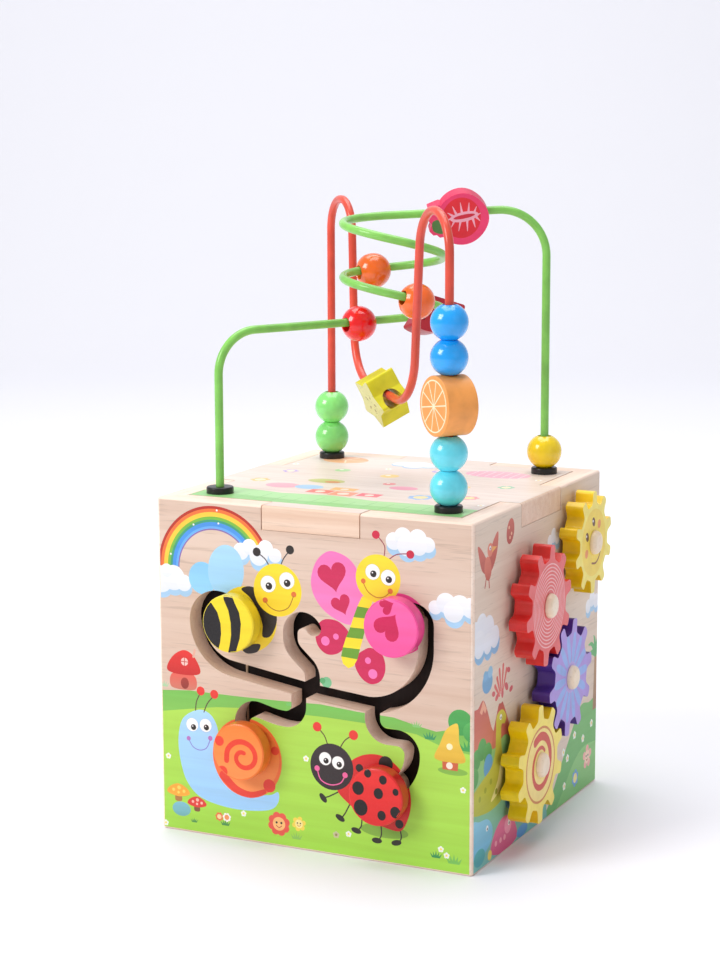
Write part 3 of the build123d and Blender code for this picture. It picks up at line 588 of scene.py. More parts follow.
def front_art():
    art = Art()
    # rainbow
    bands = [(37.4, 0xBA2A1C), (35.8, 0xF07434), (33.8, 0xF7CE3E), (31.2, 0x76BC40), (29.4, 0x3A9E78),
        (28.0, 0x4696E8), (25.6, 0x68B0F8), (24.2, 0x8A68AC)]
    for k, (outer, colour) in enumerate(bands):
        inner = bands[k + 1][0] if k + 1 < len(bands) else 23.4
        art.put(band(-61.9, 160.0, inner, outer, 27, 180.5), colour)
    for x, y in ((-75.5, 185.5), (-59, 187.5), (-91, 167), (-60, 195)):
        art.dot(x, y, 0.6, WHITE)
    cloud(art, [(-98, 151.5, 8), (-89.5, 153, 7.5), (-82.5, 150.5, 5), (-94, 157, 4)])
    cloud(art, [(-44.5, 172.5, 5), (-39, 175.5, 4.6), (-28.5, 175.5, 4.8), (-22.5, 171.8, 4.2),
        (-33, 171, 6)])
    cloud(art, [(52, 186.5, 5), (57.5, 189.5, 5.2), (66.5, 189, 5.4), (72.5, 186, 4.4), (60, 184.5, 6),
        (67, 184.5, 5)])
    cloud(art, [(77, 151.5, 4), (83.5, 154.5, 5.8), (92, 154, 5.8), (98.5, 153, 5.8), (88, 150, 6)])
    # meadow, hills and bushes behind the animals
    hill = [(-101, 84.5), (-80, 86.5), (-50, 86.6), (-20, 87.2), (6, 88.2), (30, 86.6), (52, 86), (66, 83),
        (78, 81), (90, 84), (101, 86), (101, 40), (-101, 40)]
    art.put(hill, HILL, 0x96CA4C)
    art.dot(92.5, 88, 7.4, 0x4CAC54, 0x3C9E4E)
    art.dot(100, 83, 6.0, 0x58B65C, 0x40A050)
    meadow = [(-101, 71.5), (-82, 75), (-62, 78.5), (-45, 80), (-20, 80.6), (10, 81), (40, 80.4), (66, 78),
        (84, 72), (101, 70), (101, -1), (-101, -1)]
    art.put(meadow, MEADOW, MEADOW_LOW)
    for x, y, s, tint in ((74, 76, 5, 0x349660), (66, 82, 4, 0x8CC878), (97.5, 72, 7, 0x3CA050),
            (-14, 85, 3, 0x78C46E), (-97, 87, 4, 0xAACDA0), (78, 8, 4.4, 0x309654), (89, 6, 6, 0x78C35A),
            (-57, 7.5, 4, 0x469650), (-78, 6.5, 3, 0x469650), (-10, 6, 4.5, 0x8CC45A)):
        grass(art, x, y, s, tint)
    art.dot(10, 101.5, 3.2, 0x78BE8C)
    art.dot(7.4, 102.2, 1.8, 0x5AAA6E)
    # red mushroom house
    art.blob([(-91, 96), (-92.5, 88), (-84, 86.5), (-75.5, 88), (-77, 96)], 0xE85C4E, 0xCE7864)
    art.dot(-83, 90.5, 2.7, 0xA8342C, 0x8C2C22, ry=3.4)
    art.blob([(-94.8, 97.5), (-91, 106), (-83, 110.4), (-76, 106.5), (-72.6, 97.5), (-84, 95.5)], 0xE82C28,
        0xC61C1C)
    art.dot(-83, 103.4, 2.4, 0xF6C8BE)
    art.line([(-83, 101.2), (-83, 105.6)], 0.5, 0xC83C32)
    art.line([(-85.2, 103.4), (-80.8, 103.4)], 0.5, 0xC83C32)
    art.line([(-77, 107), (-76, 111)], 1.4, 0xE4AA96)
    # yellow house on the right
    art.dot(88, 59.5, 9, 0x84B846, ry=2.2)
    art.put([(81.5, 67), (81.8, 60), (91, 60), (91.5, 67)], 0xCE6038)
    art.blob([(77, 66), (80, 74), (84, 83), (90, 87.2), (91.5, 84), (92, 76), (95.6, 66), (86, 64.5)],
        0xF6CE4A, 0xE2B232)
    art.dot(86, 73.4, 1.9, 0xFCF0BE)
    art.dot(86, 62.5, 2.0, 0xFAE8D6)
    # bee: wings, body, head
    art.dot(-70, 154.5, 9.2, 0x8CCEFA, 0x96D6FC, ry=9.6)
    art.dot(-54.5, 160, 11.8, 0xAADAFA, 0xA0D6FC, ry=15.4, tilt=-4)
    art.dot(-41, 133, 19.3, YELLOW, YELLOW_LOW)
    art.blob([(-44.5, 150.5), (-38, 152.5), (-30, 148.5), (-22.5, 139.5), (-22, 132), (-26, 124.5),
        (-31, 124), (-31, 131), (-34, 139), (-39, 146)], BLACK)
    art.blob([(-44, 115), (-38, 118.5), (-32.5, 119), (-34.5, 114.5), (-41, 112.8)], BLACK)
    art.line([(-26.5, 166), (-29, 169.5), (-33.5, 172.5)], 0.7, 0x463E46)
    art.line([(-19, 166), (-17, 170.5), (-13.5, 175)], 0.7, 0x463E46)
    art.dots(BLACK, (-34.2, 173, 2.6), (-12.8, 176, 2.6))
    art.dot(-21, 152, 15.4, YELLOW, YELLOW_LOW)
    eye(art, -27, 155, 4.8)
    eye(art, -15, 158, 4.8, (0.05, -0.3))
    art.dots(CHEEK, (-29, 145.4, 1.7), (-10.6, 150.4, 1.7))
    art.line([(-29, 144.6), (-25.5, 141.3), (-20, 139.9), (-14, 142.6), (-10.8, 149.4)], 0.6, 0xB07814)
    # butterfly
    art.blob([(14, 177.6), (23, 175), (29, 169), (32, 160), (33, 149), (30.5, 140), (25, 136.4), (17, 138.2),
        (8, 143.5), (2, 151.5), (0.4, 160), (3, 169.5), (8, 175.4)], PINK, 0xFA80C0)
    art.put(heart((16.4, 154), 17, 14), CRIMSON)
    art.put(heart((22.2, 141.6), 11.6, 24), CRIMSON)
    art.blob([(10, 138.2), (18, 137.4), (24.5, 131), (22, 124), (17, 119), (10, 118), (4.4, 122.5), (3, 130),
        (5.4, 135.5)], CRIMSON)
    art.blob([(33, 122.5), (38, 124.5), (45, 121), (46.8, 113), (44, 106.2), (38, 103.6), (32, 106.4),
        (28, 113), (29, 119)], CRIMSON)
    art.dots(0xFA78BA, (9.3, 125.5, 2.7), (16, 128.7, 1.8), (39, 109.6, 2.8), (36, 117, 1.9))
    art.dot(55.6, 140, 17.4, 0xE83C8C)
    left = [(32.5, 153.5), (29.5, 147.5), (27, 141), (25, 135), (22.4, 129), (20.4, 123), (19.2, 117.6),
        (20.4, 113.4)]
    right = [(39.5, 153.5), (37.5, 147), (36, 141), (34.4, 135), (32.8, 129), (31, 123), (29.4, 117),
        (27, 112.8)]
    for k in range(7):
        colour = (YELLOW, 0x68A028)[k % 2]
        art.put([left[k], left[k + 1], ((left[k + 1][0] + right[k + 1][0]) / 2, right[k + 1][1] - 1.6),
            right[k + 1], right[k]], colour)
    art.line([(46, 177), (46.4, 183), (43, 187.6)], 0.6, 0x962846)
    art.line([(48.5, 175.5), (53.5, 179), (60, 180)], 0.6, 0x962846)
    art.dots(0xCE1C42, (41, 189.2, 2.4), (62, 179.8, 2.4))
    art.dot(42.3, 164.4, 13.8, 0xFAE42C, 0xF6D828)
    eye(art, 39, 168, 4.4)
    eye(art, 48.5, 165.6, 4.4)
    art.dots(CHEEK, (33.2, 162.3, 1.5), (49.8, 158, 1.6))
    art.line([(33.4, 161), (36, 156.6), (41, 153.8), (46, 154.4), (49.6, 157.4)], 0.6, 0xC47814)
    # snail
    art.blob([(-74, 75.5), (-66, 73.5), (-61.5, 66), (-61, 56), (-58, 45), (-45, 30), (-28, 30),
        (-21.8, 32.5), (-22, 26), (-28, 21), (-45, 18.6), (-62, 19.6), (-75, 23.4), (-83, 32), (-87, 45),
        (-87.8, 58), (-84.4, 69.4)], 0xACDAFE, 0x9ED0FC)
    art.dot(-42, 50.4, 22.8, 0xF66828, 0xFA783C, ry=23.8)
    art.dot(-40.5, 51.5, 19.6, 0xFC8022, 0xFC9650, ry=21)
    art.line([(-58, 38), (-50, 31), (-40, 28.5), (-31, 31.5)], 5.4, 0xE83E2C, 3.0)
    art.dot(-23.6, 57, 2.6, 0xF04628)
    art.dot(-27.5, 35.6, 4.0, 0xEE3C30)
    eye(art, -78.4, 66, 4.0, (0.2, -0.35), rim=0x96BEF0)
    eye(art, -69.4, 66.6, 4.0, (0.12, -0.3), rim=0x96BEF0)
    art.dots(0xB874C4, (-81, 57.4, 1.4), (-66.4, 59.2, 1.5))
    art.line([(-80.6, 56.4), (-78, 52.6), (-73.5, 51.2), (-69, 53), (-66.6, 58)], 0.6, 0x8A82D6)
    art.line([(-76, 75), (-75.4, 80), (-73.4, 84.4)], 0.7, 0x564632)
    art.line([(-70.4, 74.6), (-68, 80), (-64.6, 84)], 0.7, 0x564632)
    art.dots(RED, (-72.4, 87, 2.7), (-63.3, 86, 2.7))
    # ladybug
    art.dot(46, 19, 15, 0x80B03E, ry=4)
    for hip, knee, foot, lean in (((17, 38), (11.5, 34.8), (8.6, 33.6), -50), ((24.5, 32), (21.6, 26.4),
            (19.4, 23.2), -28), ((32, 25), (31.6, 20), (29.6, 17.2), -14), ((44, 22), (44.2, 16.6),
            (42.6, 13.2), 0), ((56, 21), (56.6, 16.4), (54.8, 13.6), 14)):
        art.line([hip, knee, foot], 0.8, 0x2E2822)
        art.dot(foot[0] - 1.2, foot[1] - 0.4, 3.2, 0x1A1E18, ry=1.7, tilt=lean)
    art.blob([(24, 56.5), (34, 62.2), (45, 62.8), (55, 57.2), (61, 47.5), (62.6, 37), (60.4, 27), (56, 20.4),
        (47, 21), (36, 24.4), (25, 31), (16.4, 39), (18, 48)], 0xE22222, 0xD42224)
    art.dots(BLACK, (47, 58.6, 4.4), (30.5, 53.9, 2.4), (55.4, 24.4, 2.6))
    art.line([(10.4, 65), (8.4, 70), (5, 73.6)], 0.7, 0x563C28)
    art.line([(18.6, 64.6), (21.4, 69), (25.6, 72)], 0.7, 0x563C28)
    art.dots(RED, (3.8, 74.8, 2.8), (26.8, 72.7, 2.9))
    art.dot(13, 52.3, 13.7, 0x2C222A, 0x1E161C)
    eye(art, 8.8, 56.6, 3.8, (0.15, -0.3), rim=0x786E6E)
    eye(art, 17, 55.2, 3.8, (0.2, -0.25), rim=0x786E6E)
    art.dots(0xF064A0, (3.6, 50.3, 1.7), (21.4, 48.5, 1.7))
    art.line([(3.8, 49.4), (6, 43.8), (12, 41.6), (18.4, 43.4), (21.2, 47.8)], 0.7, 0xF064A0)
    # corner plants
    mushroom(art, -88.5, 23.5, 7.4, 5.4, 0xF7AA34, 0xFCD660, 0xB4783C)
    mushroom(art, -76, 18, 6.2, 4.6, 0xDE322C, 0xFABEB0, 0x825432)
    art.dot(-86.6, 13.6, 6.2, 0x7EBED0, 0x6EB0B4, ry=4.4)
    blossom(art, -61, 12.4, 2.6, 0xEC6E40, 0xFADCA0)
    blossom(art, -56, 12.6, 2.7, 0xFCF6F0, 0xF0965A)
    blossom(art, -21.4, 13.6, 7.0, 0xE85648, 0xFABE78, 8, True)
    blossom(art, -8.4, 15.4, 4.4, 0xF4D650, 0xFAE896, 6, True)
    daisies(art, ((-95, 45), (-3.5, 55), (94.3, 49.5), (23.5, 14), (-44.7, 16.5), (81, 13.5), (84.5, 10.3),
        (-97.5, 3.6)))
    daisy(art, 15.6, 12.4, 1.9, 0xC4BE96, 0x96825A)
    return art


def right_art():
    art = Art()
    # hill at the right with flowers
    art.blob([(8, -8), (22, 12), (40, 30), (56, 45), (70, 56), (84, 55), (104, 50), (118, -8)], 0x74BE68,
        0x60B260)
    art.blob([(28, -8), (44, 12), (66, 26), (88, 28), (112, 20), (116, -10)], 0x8CCC78, 0x70BC68)
    daisies(art, ((41, 34), (48, 28.5), (75, 34), (43, 12), (60, 40), (90, 40)), 2.4)
    blossom(art, 83, 20, 7.5, 0xF6B2AA, 0xFAD6BE, 5, True)
    blossom(art, 62, 12, 5.4, 0x68A0E2, 0xFAE896, 6)
    # palm
    art.put([(92, 48), (94, 84), (97.4, 84), (98.4, 48)], 0xBA8C62, 0xA07452)
    for tip in ((80, 82), (83, 92), (92, 96), (101, 93), (103, 82)):
        art.line([(95.5, 84), ((95.5 + tip[0]) / 2, (86 + tip[1]) / 2 + 2), tip], 5.0, 0x60B86E, 0.8)
    # sky
    cloud(art, [(-98, 137, 8), (-89, 140, 8), (-79, 137, 8), (-70, 131, 6.5), (-92, 131, 8), (-80, 129, 6)],
        3.6, 0xF0F4FA, 0x8CBEE6)
    cloud(art, [(14, 170, 4), (20, 172.5, 4.6), (26, 170, 3.8)])
    cloud(art, [(81, 117, 4.4), (88, 120.4, 5), (95, 118, 4.6)])
    cloud(art, [(-16, 160, 3.6), (-10, 162.5, 4.4), (-4, 160, 3.6)])
    # egg and flying reptile
    art.dot(-48, 187, 5.6, 0xCE6254, 0xB84C42, ry=7.4, tilt=-18)
    for x, y in ((-50, 189.4), (-46.4, 185.4), (-48.6, 183.4)):
        art.dot(x, y, 1.0, 0xF0BEA0)
    wing = 0xD67060
    art.blob([(-82, 176), (-90, 184), (-95, 186), (-92, 177), (-88, 171), (-82, 169)], wing, 0xBC564A)
    art.blob([(-80, 176), (-73, 186), (-66, 190), (-67, 180), (-72, 172), (-78, 169)], wing, 0xBC564A)
    art.dot(-80.5, 171.6, 5.0, 0xE2826C, 0xC86454, ry=7.0, tilt=12)
    art.dot(-77.5, 181.6, 3.9, 0xE4866E, tilt=10)
    art.put([(-74.6, 183), (-67.5, 181.8), (-74.8, 179.6)], 0xF0B060)
    eye(art, -77.4, 182.6, 1.3, rim=0xBE5A50)
    art.line([(-83, 166), (-84.6, 161.5)], 1.2, 0xBC564A)
    art.line([(-79, 165), (-78.4, 160.5)], 1.2, 0xBC564A)
    # volcano and mountains
    art.blob([(-101, 92), (-93, 95), (-86, 98), (-80, 91), (-74, 80), (-66, 68), (-101, 64)], 0xCC5C54,
        0xDE846A)
    art.put([(-86, 98), (-90.6, 92), (-87.6, 90), (-85.6, 92.4), (-83, 89.6), (-81, 92)], 0xF0AA8C)
    art.blob([(-72, 66), (-64.6, 88), (-60, 90), (-55.6, 88), (-44, 64)], 0xC45450, 0xD87860)
    for x, y, r in ((-71, 98, 1.6), (-66, 95, 1.8), (-52, 98, 2.0), (-45, 95, 1.7), (-58, 95.5, 1.8),
            (-49, 107, 1.6)):
        art.dot(x, y, r, 0xD65C60, ry=r * 1.6, tilt=8 * (x + 58))
    for tip in ((-66, 106), (-62.5, 110), (-57, 111.5), (-52, 108), (-69, 102)):
        art.line([(-59.4 + (tip[0] + 59.4) * 0.3, 91 + (tip[1] - 91) * 0.35), tip], 1.4, 0xE26860, 2.6)
    art.dot(-80, 107, 7.4, 0x7EB6DE, 0x68A0D0, ry=6.4)
    art.dot(-83, 111, 3.0, 0x7EB6DE)
    art.dot(-76, 112, 3.4, 0x92C4E4)
    # dinosaur valley
    art.blob([(-101, 62), (-84, 72), (-70, 66), (-52, 70), (-36, 58), (-10, 46), (10, 20), (2, -12),
        (-101, -12)], 0x96D078, 0x60B0BE)
    for x, y, r in ((-95, 66, 6), (-87, 70, 6.4), (-79, 66, 6), (-98, 56, 6)):
        art.dot(x, y, r, 0x5CB260, 0x4AA05C)
    art.dot(-78, 58, 6.4, 0x60ACD8, 0x509CCE, ry=7.0)
    art.blob([(-66, 84), (-58, 86), (-52, 81), (-54, 77), (-59, 77), (-59, 66), (-55, 55), (-52, 44),
        (-56, 34), (-70, 31), (-86, 32), (-101, 36), (-101, 46), (-86, 52), (-74, 56), (-68, 64), (-67, 75)],
        0xD8CE48, 0xB8BE3C)
    art.blob([(-57, 60), (-56, 50), (-60, 40), (-74, 36), (-64, 46), (-60, 56)], 0xF0E896)
    eye(art, -60, 82, 1.7, rim=0xAAA03C)
    for x, y in ((-74, 48), (-82, 45), (-66, 40), (-90, 42)):
        art.dot(x, y, 1.8, 0xA0AA32)
    art.dot(-42, 50, 5.0, 0xEC9646, 0xDE783C, ry=6.2)
    art.dot(-44, 30, 8.4, 0x5CA8D6, 0x509CCE, ry=6)
    # water creatures
    art.blob([(-101, 30), (-90, 29), (-78, 27), (-71, 20), (-74, 12), (-86, 8), (-101, 10)], 0x8CCEE8,
        0x68B8DC)
    eye(art, -79, 22, 1.7, rim=0x5AA0C8)
    art.dot(-90, 8, 8.0, 0x42B0B2, 0x329EA8, ry=5)
    art.blob([(-74, 6), (-68, 16), (-57, 21.5), (-45, 20), (-37, 13), (-34, 4), (-46, 1), (-60, 1)],
        0xEE6E9C, 0xD64680)
    art.dot(-48, 15, 5.2, 0xF696B6)
    eye(art, -46.4, 16, 1.8, rim=0xCE5082)
    for x in (-66, -59, -53):
        art.dot(x, 9, 1.7, 0xFAAABE)
    art.dot(-26, 5, 8.4, 0x54A0DE, 0x408CD2, ry=3.6)
    art.dot(-75, 5, 3.0, 0xF0D65A)
    blossom(art, -12, 26, 5.0, 0xF096AA, 0xFAE896, 6)
    grass(art, -22, 36, 6, 0x46A05A)
    grass(art, 2, 10, 6, 0x46A05A)
    return art


def lid_art():
    art = Art()
    edge = 86.2
    art.put([(-edge, -edge), (edge, -edge), (edge, -62), (54, -58), (20, -60), (-8, -54), (-40, -58),
        (-edge, -50)], 0xA8DE96)
    art.put([(-edge, -edge), (edge, -edge), (edge, -78), (30, -74), (-20, -77), (-edge, -70)], 0x8CCE7A)
    for k in range(15):
        art.line([(-80 + 11.4 * k, -83), (-78.5 + 11.4 * k, -62 - 3 * (k % 3))], 1.0, 0x78C46E, 0.4)
    # striped tent, blocks and a train of flowers
    art.dot(-60, 67, 15, 0xFAAA78, 0xFCBE8C, ry=12)
    for k in range(5):
        art.line([(-60, 67), (-60 + 14 * math.cos(1.256 * k), 67 + 11 * math.sin(1.256 * k))], 1.2, 0xFEDEBE)
    cloud(art, [(-20, 68, 7), (-11, 71, 8), (-2, 68, 7), (-10, 63, 7)], 3.0, 0xECF0F8, 0xB0CCE8)
    art.dot(50, 55, 21, 0xF8BECE, 0xF6AAC4, ry=12)
    for k in range(7):
        art.line([(34 + 5.4 * k, 46), (34 + 5.4 * k, 64)], 0.8, 0xFCE2EA)
    art.dot(-52, -34, 11, 0xFAB8C4, 0xF6A0B4, ry=8)
    art.dot(-35, -33, 9, 0xB0D6F4, 0x96C8F0, ry=7)
    for x, y, w, h, colour in ((-22, -44, 15, 11, 0xF06E64), (-6, -46, 15, 13, 0xF69678),
            (10, -44, 14, 10, 0xF0606E), (-12, -32, 16, 9, 0xFABA6E)):
        art.put([(x - w / 2, y - h / 2), (x + w / 2, y - h / 2), (x + w / 2, y + h / 2),
            (x - w / 2, y + h / 2)], colour)
        art.dot(x, y, h * 0.28, 0xFCE4D6)
    art.dot(-35, -10, 12, 0xCECE82, 0xBEC46E, ry=7)
    art.dot(-30, -12, 5, 0xE2965A, 0xD27850, ry=3.4)
    art.dot(18, -14, 9, 0xF4AABE, 0xF08CAA, ry=6)
    blossom(art, 40, -38, 7.5, 0x96BEEC, 0xFCE8A0, 7)
    blossom(art, 66, -28, 6.0, 0xF696A0, 0xFCE8A0, 7)
    blossom(art, -74, -22, 6.0, 0xFAC46E, 0xFCEEC8, 6)
    blossom(art, -72, 14, 5.0, 0xB096DC, 0xFCEEC8, 6)
    blossom(art, 72, 14, 5.0, 0x8CCEAA, 0xFCEEC8, 6)
    for x, y, r, colour in ((-8, 22, 6, 0xFAD678), (26, 20, 5, 0xAAD6F0), (-44, 30, 5, 0xB0DCA0),
            (4, -4, 4, 0xF08282), (48, 4, 5, 0xFACE82), (12, 50, 4, 0xBEAAE6)):
        art.dot(x, y, r, colour)
        art.dot(x - 0.3 * r, y + 0.3 * r, 0.3 * r, 0xFEF6EC)
    daisies(art, ((-82, 40), (-20, 46), (30, 38), (80, 46), (82, -48), (0, 80), (70, 74), (-84, 80)), 2.2,
        0xFCFCF8, 0xFAD278)
    return art


CLOCK = (0, 100)
NUMERAL_RING = 54.5
NUMERAL_SIZE = 12.5 * MM
NUMERAL_HALF_T = 0.06 * MM
NUMERAL_LIFT = 0.19 * MM


def back_art():
    art = Art()
    cloud(art, [(-88, 176, 8), (-78, 180, 8.4), (-68, 177, 7.4), (-78, 172, 7)])
    cloud(art, [(70, 182, 7), (79, 185, 7.4), (87, 181, 6.6), (79, 178, 7)])
    art.put([(-101, 60), (-70, 66), (-30, 62), (20, 66), (66, 62), (101, 68), (101, -1), (-101, -1)], HILL,
        0x96CA4C)
    art.put([(-101, 46), (-60, 52), (-10, 48), (40, 52), (101, 46), (101, -1), (-101, -1)], MEADOW,
        MEADOW_LOW)
    colours = (RED, 0xF69632, YELLOW, 0x78C446, 0x3CA0DC, 0x966EC8)
    art.dot(*CLOCK, 72, 0x4AA0D6, 0x3C92CC)
    art.dot(*CLOCK, 68.5, 0xFAF4E2)
    for k in range(12):
        art.dot(*polar(NUMERAL_RING, 90 - 30 * k, *CLOCK), 9.6, colours[k % 6])
    for k in range(60):
        art.dot(*polar(66.2, 6 * k, *CLOCK), 0.9 if k % 5 else 1.4, 0x4A78A0)
    art.dot(*CLOCK, 40, 0xFCE696, 0xFAD66E)
    blossom(art, *CLOCK, 27, 0xFAC85A, 0xFCE282, 12)
    daisies(art, ((-84, 22), (-70, 10), (-90, 40), (84, 24), (70, 12), (92, 40), (-40, 10), (36, 8),
        (0, 14)), 3.0)
    mushroom(art, -82, 34, 8, 7, RED, 0xFCE6DC)
    mushroom(art, 83, 36, 7, 6, 0xF7AA34, 0xFCE6AA)
    for x in (-62, -22, 20, 60):
        grass(art, x, 5, 7, 0x46A05A)
    return art


def left_art():
    art = Art()
    cloud(art, [(-80, 184, 7), (-71, 187.4, 7.4), (-62, 184, 6.6), (-71, 180, 7)])
    cloud(art, [(64, 186, 6), (72, 188.6, 6.6), (80, 185, 6), (72, 182, 6)])
    art.put([(-101, 78), (-60, 84), (-20, 80), (24, 84), (66, 79), (101, 84), (101, -1), (-101, -1)], HILL,
        0x96CA4C)
    art.put([(-101, 66), (-50, 72), (0, 68), (50, 73), (101, 68), (101, -1), (-101, -1)], MEADOW, MEADOW_LOW)
    art.dot(-44, 134, 27, 0x3A96E2, 0x2C84D4)
    art.dot(-44, 134, 23.5, 0xAAD6F6)
    for side, colour in ((51, 0xE23C32), (43, 0xFAB2A0)):
        h = side / 2
        corner = ellipse(0, 0, 4, count=12)
        square = [(44 + sx * (h - 4) + x, 134 + sy * (h - 4) + y) for sx, sy, part in ((1, 1, corner[0:4]),
            (-1, 1, corner[3:7]), (-1, -1, corner[6:10]), (1, -1, corner[9:] + corner[:1])) for x, y in part]
        art.put(square, colour)
    for radius, colour in ((38, 0xF69628), (32.4, 0xFCD682)):
        art.put([polar(radius, a, -44, 56) for a in (90, 210, 330)], colour)
    for radius, colour in ((29.5, 0x7E54BE), (25.5, 0xCEB4EC)):
        art.put([polar(radius, a, 44, 56) for a in range(0, 360, 60)], colour)
    for x, y, r, petal in ((0, 96, 7, 0xEC606E), (-84, 104, 5, 0x6EAAE6), (84, 100, 5, 0xF6A03C),
            (0, 24, 6, 0xFAD650), (-88, 20, 5, 0xEC606E), (86, 18, 5, 0xB478D2)):
        blossom(art, x, y, r, petal, 0xFCEEBE, 7, r > 5.5)
    daisies(art, ((-20, 12), (22, 10), (-60, 9), (62, 10), (-94, 50), (94, 52), (0, 60), (-6, 44)), 2.4)
    for x in (-74, -34, 36, 76):
        grass(art, x, 4, 6, 0x46A05A)
    return art


def bee_art():
    art = Art(0xFADE28)
    art.dot(0, 0, KNOB_FLAT, 0xFCE42C, 0xF8D622)
    art.put([(-20, 15), (-10.4, 11.4), (-6.6, 6.4), (-4.6, 0), (-4.3, -6), (-5.0, -11), (-6.4, -16),
        (-8, -21), (-22, -20)], 0x1A1416)
    art.put([(-3.2, 19), (-2.3, 14), (0.6, 8), (2, 1), (2.2, -6), (1.2, -12), (0.2, -16), (-0.6, -20),
        (4.4, -20), (5.7, -14), (7.8, -7.5), (8.7, 1), (7.6, 7.6), (4.7, 13), (2.6, 18)], 0x1A1416)
    return art


def butterfly_art():
    art = Art(0xFA5CA4)
    art.dot(0, 0, KNOB_FLAT, 0xFC68AC, 0xF8549C)
    art.put(heart((3.2, 8.4), 15.5, 148), CRIMSON)
    art.put(heart((2.0, 14.6), 8.6, 118), CRIMSON)
    return art


def snail_art():
    art = Art(0xFA8034)
    art.dot(0, 0, KNOB_FLAT, 0xFC8432, 0xFA924C)
    coil = []
    for k in range(15):
        a = math.radians(196 - 34 * k)
        r = 11.4 - 0.62 * k
        coil.append((3.4 + r * math.cos(a), -2.6 + 0.96 * r * math.sin(a)))
    art.line(coil, 3.4, 0xEA3E28, 2.6)
    art.dots(0xEE422C, (-12.2, 5.4, 3.0), (-10.4, -12.6, 3.4))
    return art


def ladybug_art():
    art = Art(0xE22424)
    art.dot(0, 0, KNOB_FLAT, 0xE82E2A, 0xDC2224)
    for x, y, r in ((4.8, 10.8, 2.4), (-10.6, 4.1, 3.6), (2, 2.6, 2.9), (-9, -7, 4.3), (4, -9.9, 2.6),
            (12.4, -7, 3.1), (-4.6, 13.4, 2.2), (12.6, 4.8, 1.9)):
        art.dot(x, y, r, BLACK, ry=1.1 * r)
    return art


def red_gear_art():
    base = 0xEC686A
    art = Art(base)
    for k in range(7, -1, -1):
        r = 9.5 + 2.1 * k
        art.put(ellipse(0, 0, r + 0.34, count=64), 0xF8BEBE)
        art.put(ellipse(0, 0, r - 0.34, count=64), base)
    return art


def purple_gear_art():
    art = Art(0xB096E2)
    for k in range(14):
        a = 360 / 14 * k
        petal = [(8.0, -1.1), (14, -2.3), (21, -2.6), (25.6, -1.8), (27.0, 0), (25.6, 1.8), (21, 2.6),
            (14, 2.3), (8.0, 1.1)]
        art.put(turned(smooth(petal), a), 0x96B4F0)
    art.put(ellipse(0, 0, 9.4, count=48), 0xBEAAEC)
    return art


def yellow_gear_art():
    art = Art(0xFEE86E)
    art.put(ellipse(0, 0, 22.6, count=64), 0xD6863C)
    art.put(ellipse(0, 0, 21.2, count=64), 0xFDE48C)
    art.line([polar(17.4 - 0.5 * k, 120 - 27 * k) for k in range(17)], 5.4, 0xD64C38, 2.0)
    return art


def sun_gear_art():
    art = Art(0xFEEC78)
    art.put(ellipse(0, 0, 20.4, count=60), 0xFCDE5A)
    face = Art()
    for side in (-1, 1):
        face.dot(side * 6.6, 10.8, 2.3, 0x6E4628, ry=3.1)
        face.dot(side * 6.6 - 0.6, 12.0, 0.8, WHITE)
        face.dot(side * 13, 3.0, 2.7, 0xF0965A)
    face.line([(-9.6, -8.4), (-5, -12.6), (0, -13.8), (5, -12.6), (9.6, -8.4)], 1.2, 0x8C5028)
    face.turned_onto(art, 35)
    return art


def slice_art():
    pith = 0xFFE8C4
    flesh = 0xFA9E50
    art = Art(0xFAA054)
    art.put(ellipse(0, 0, 14.8, count=64), pith)
    art.put(ellipse(0, 0, 14.0, count=64), flesh)
    for k in range(10):
        art.line([polar(0.8, 36 * k + 8), polar(14.4, 36 * k + 8)], 0.7, pith)
    art.dot(0, 0, 1.4, pith)
    return art


def star_art():
    art = Art(0xE2DE96)
    speck = random.Random(5)
    for k in range(5):
        seed = Art()
        seed.dot(5.2, 0, 1.7, 0x96823C, ry=0.8)
        seed.dot(5.6, 0.1, 0.6, 0xDCC88C)
        seed.turned_onto(art, 72 * k)
    for _ in range(46):
        a, r = speck.uniform(0, 360), speck.uniform(2, 14)
        art.dot(*polar(r, a), speck.uniform(0.25, 0.5), speck.choice((0xC4C46E, 0xB0BE78)))
    return art


def berry_art():
    """Cut strawberry: places are measured from the middle of the piece's outline."""
    art = Art(0xF83E74)
    green = 0x548046
    art.blob([(-15.8, -1.4), (-12.3, 0.1), (-10.2, -3.9), (-9.6, -8.6), (-13.2, -8.2), (-15.6, -6.2)], green)
    art.blob([(-15.9, 6.3), (-12.3, 7.7), (-11.0, 4.3), (-13.9, 3.5)], green)
    art.put(ellipse(1.8, 0.8, 11.6, 12.9, count=48), 0xF02636, 0xE42032)
    ray = 0xFCB0C6
    for k in range(12):
        c, s = polar(1, 30 * k + 12)
        art.line([(3.6 + 7.6 * c, 1.6 + 2.5 * s), (3.2 + 10.2 * c, 1.4 + 9.2 * s)], 1.5, ray, 0.4)
    art.put(ellipse(3.4, 1.5, 8.6, 3.1, tilt=10, count=40), ray)
    art.put(ellipse(3.4, 1.6, 6.6, 1.3, tilt=10, count=32), 0xD61E3A)
    return art


def melon_art():
    """Watermelon face: places are measured from the middle of the piece's outline."""
    art = Art(0xBE2436)
    seeds = random.Random(8)
    for k in range(7):
        x = -11 + 3.7 * k
        art.dot(x, -1.5 + 2.4 * math.sin(1.7 * k) + seeds.uniform(-1, 1), 0.7, 0x281418, ry=1.2,
            tilt=seeds.uniform(-25, 25))
    return art


KNOB_FLAT = 15.75
KNOB_EDGE = 1.0
LID_TOP = 0.2
# Greyer, less pink copy of the printed wood, for the side walls: painted shade colour, matched to the right
# wall in shade and used on both side walls.
SHADE_TONED_WOOD = (rgb(0xEAD8C6), rgb(0xDCC5B0))


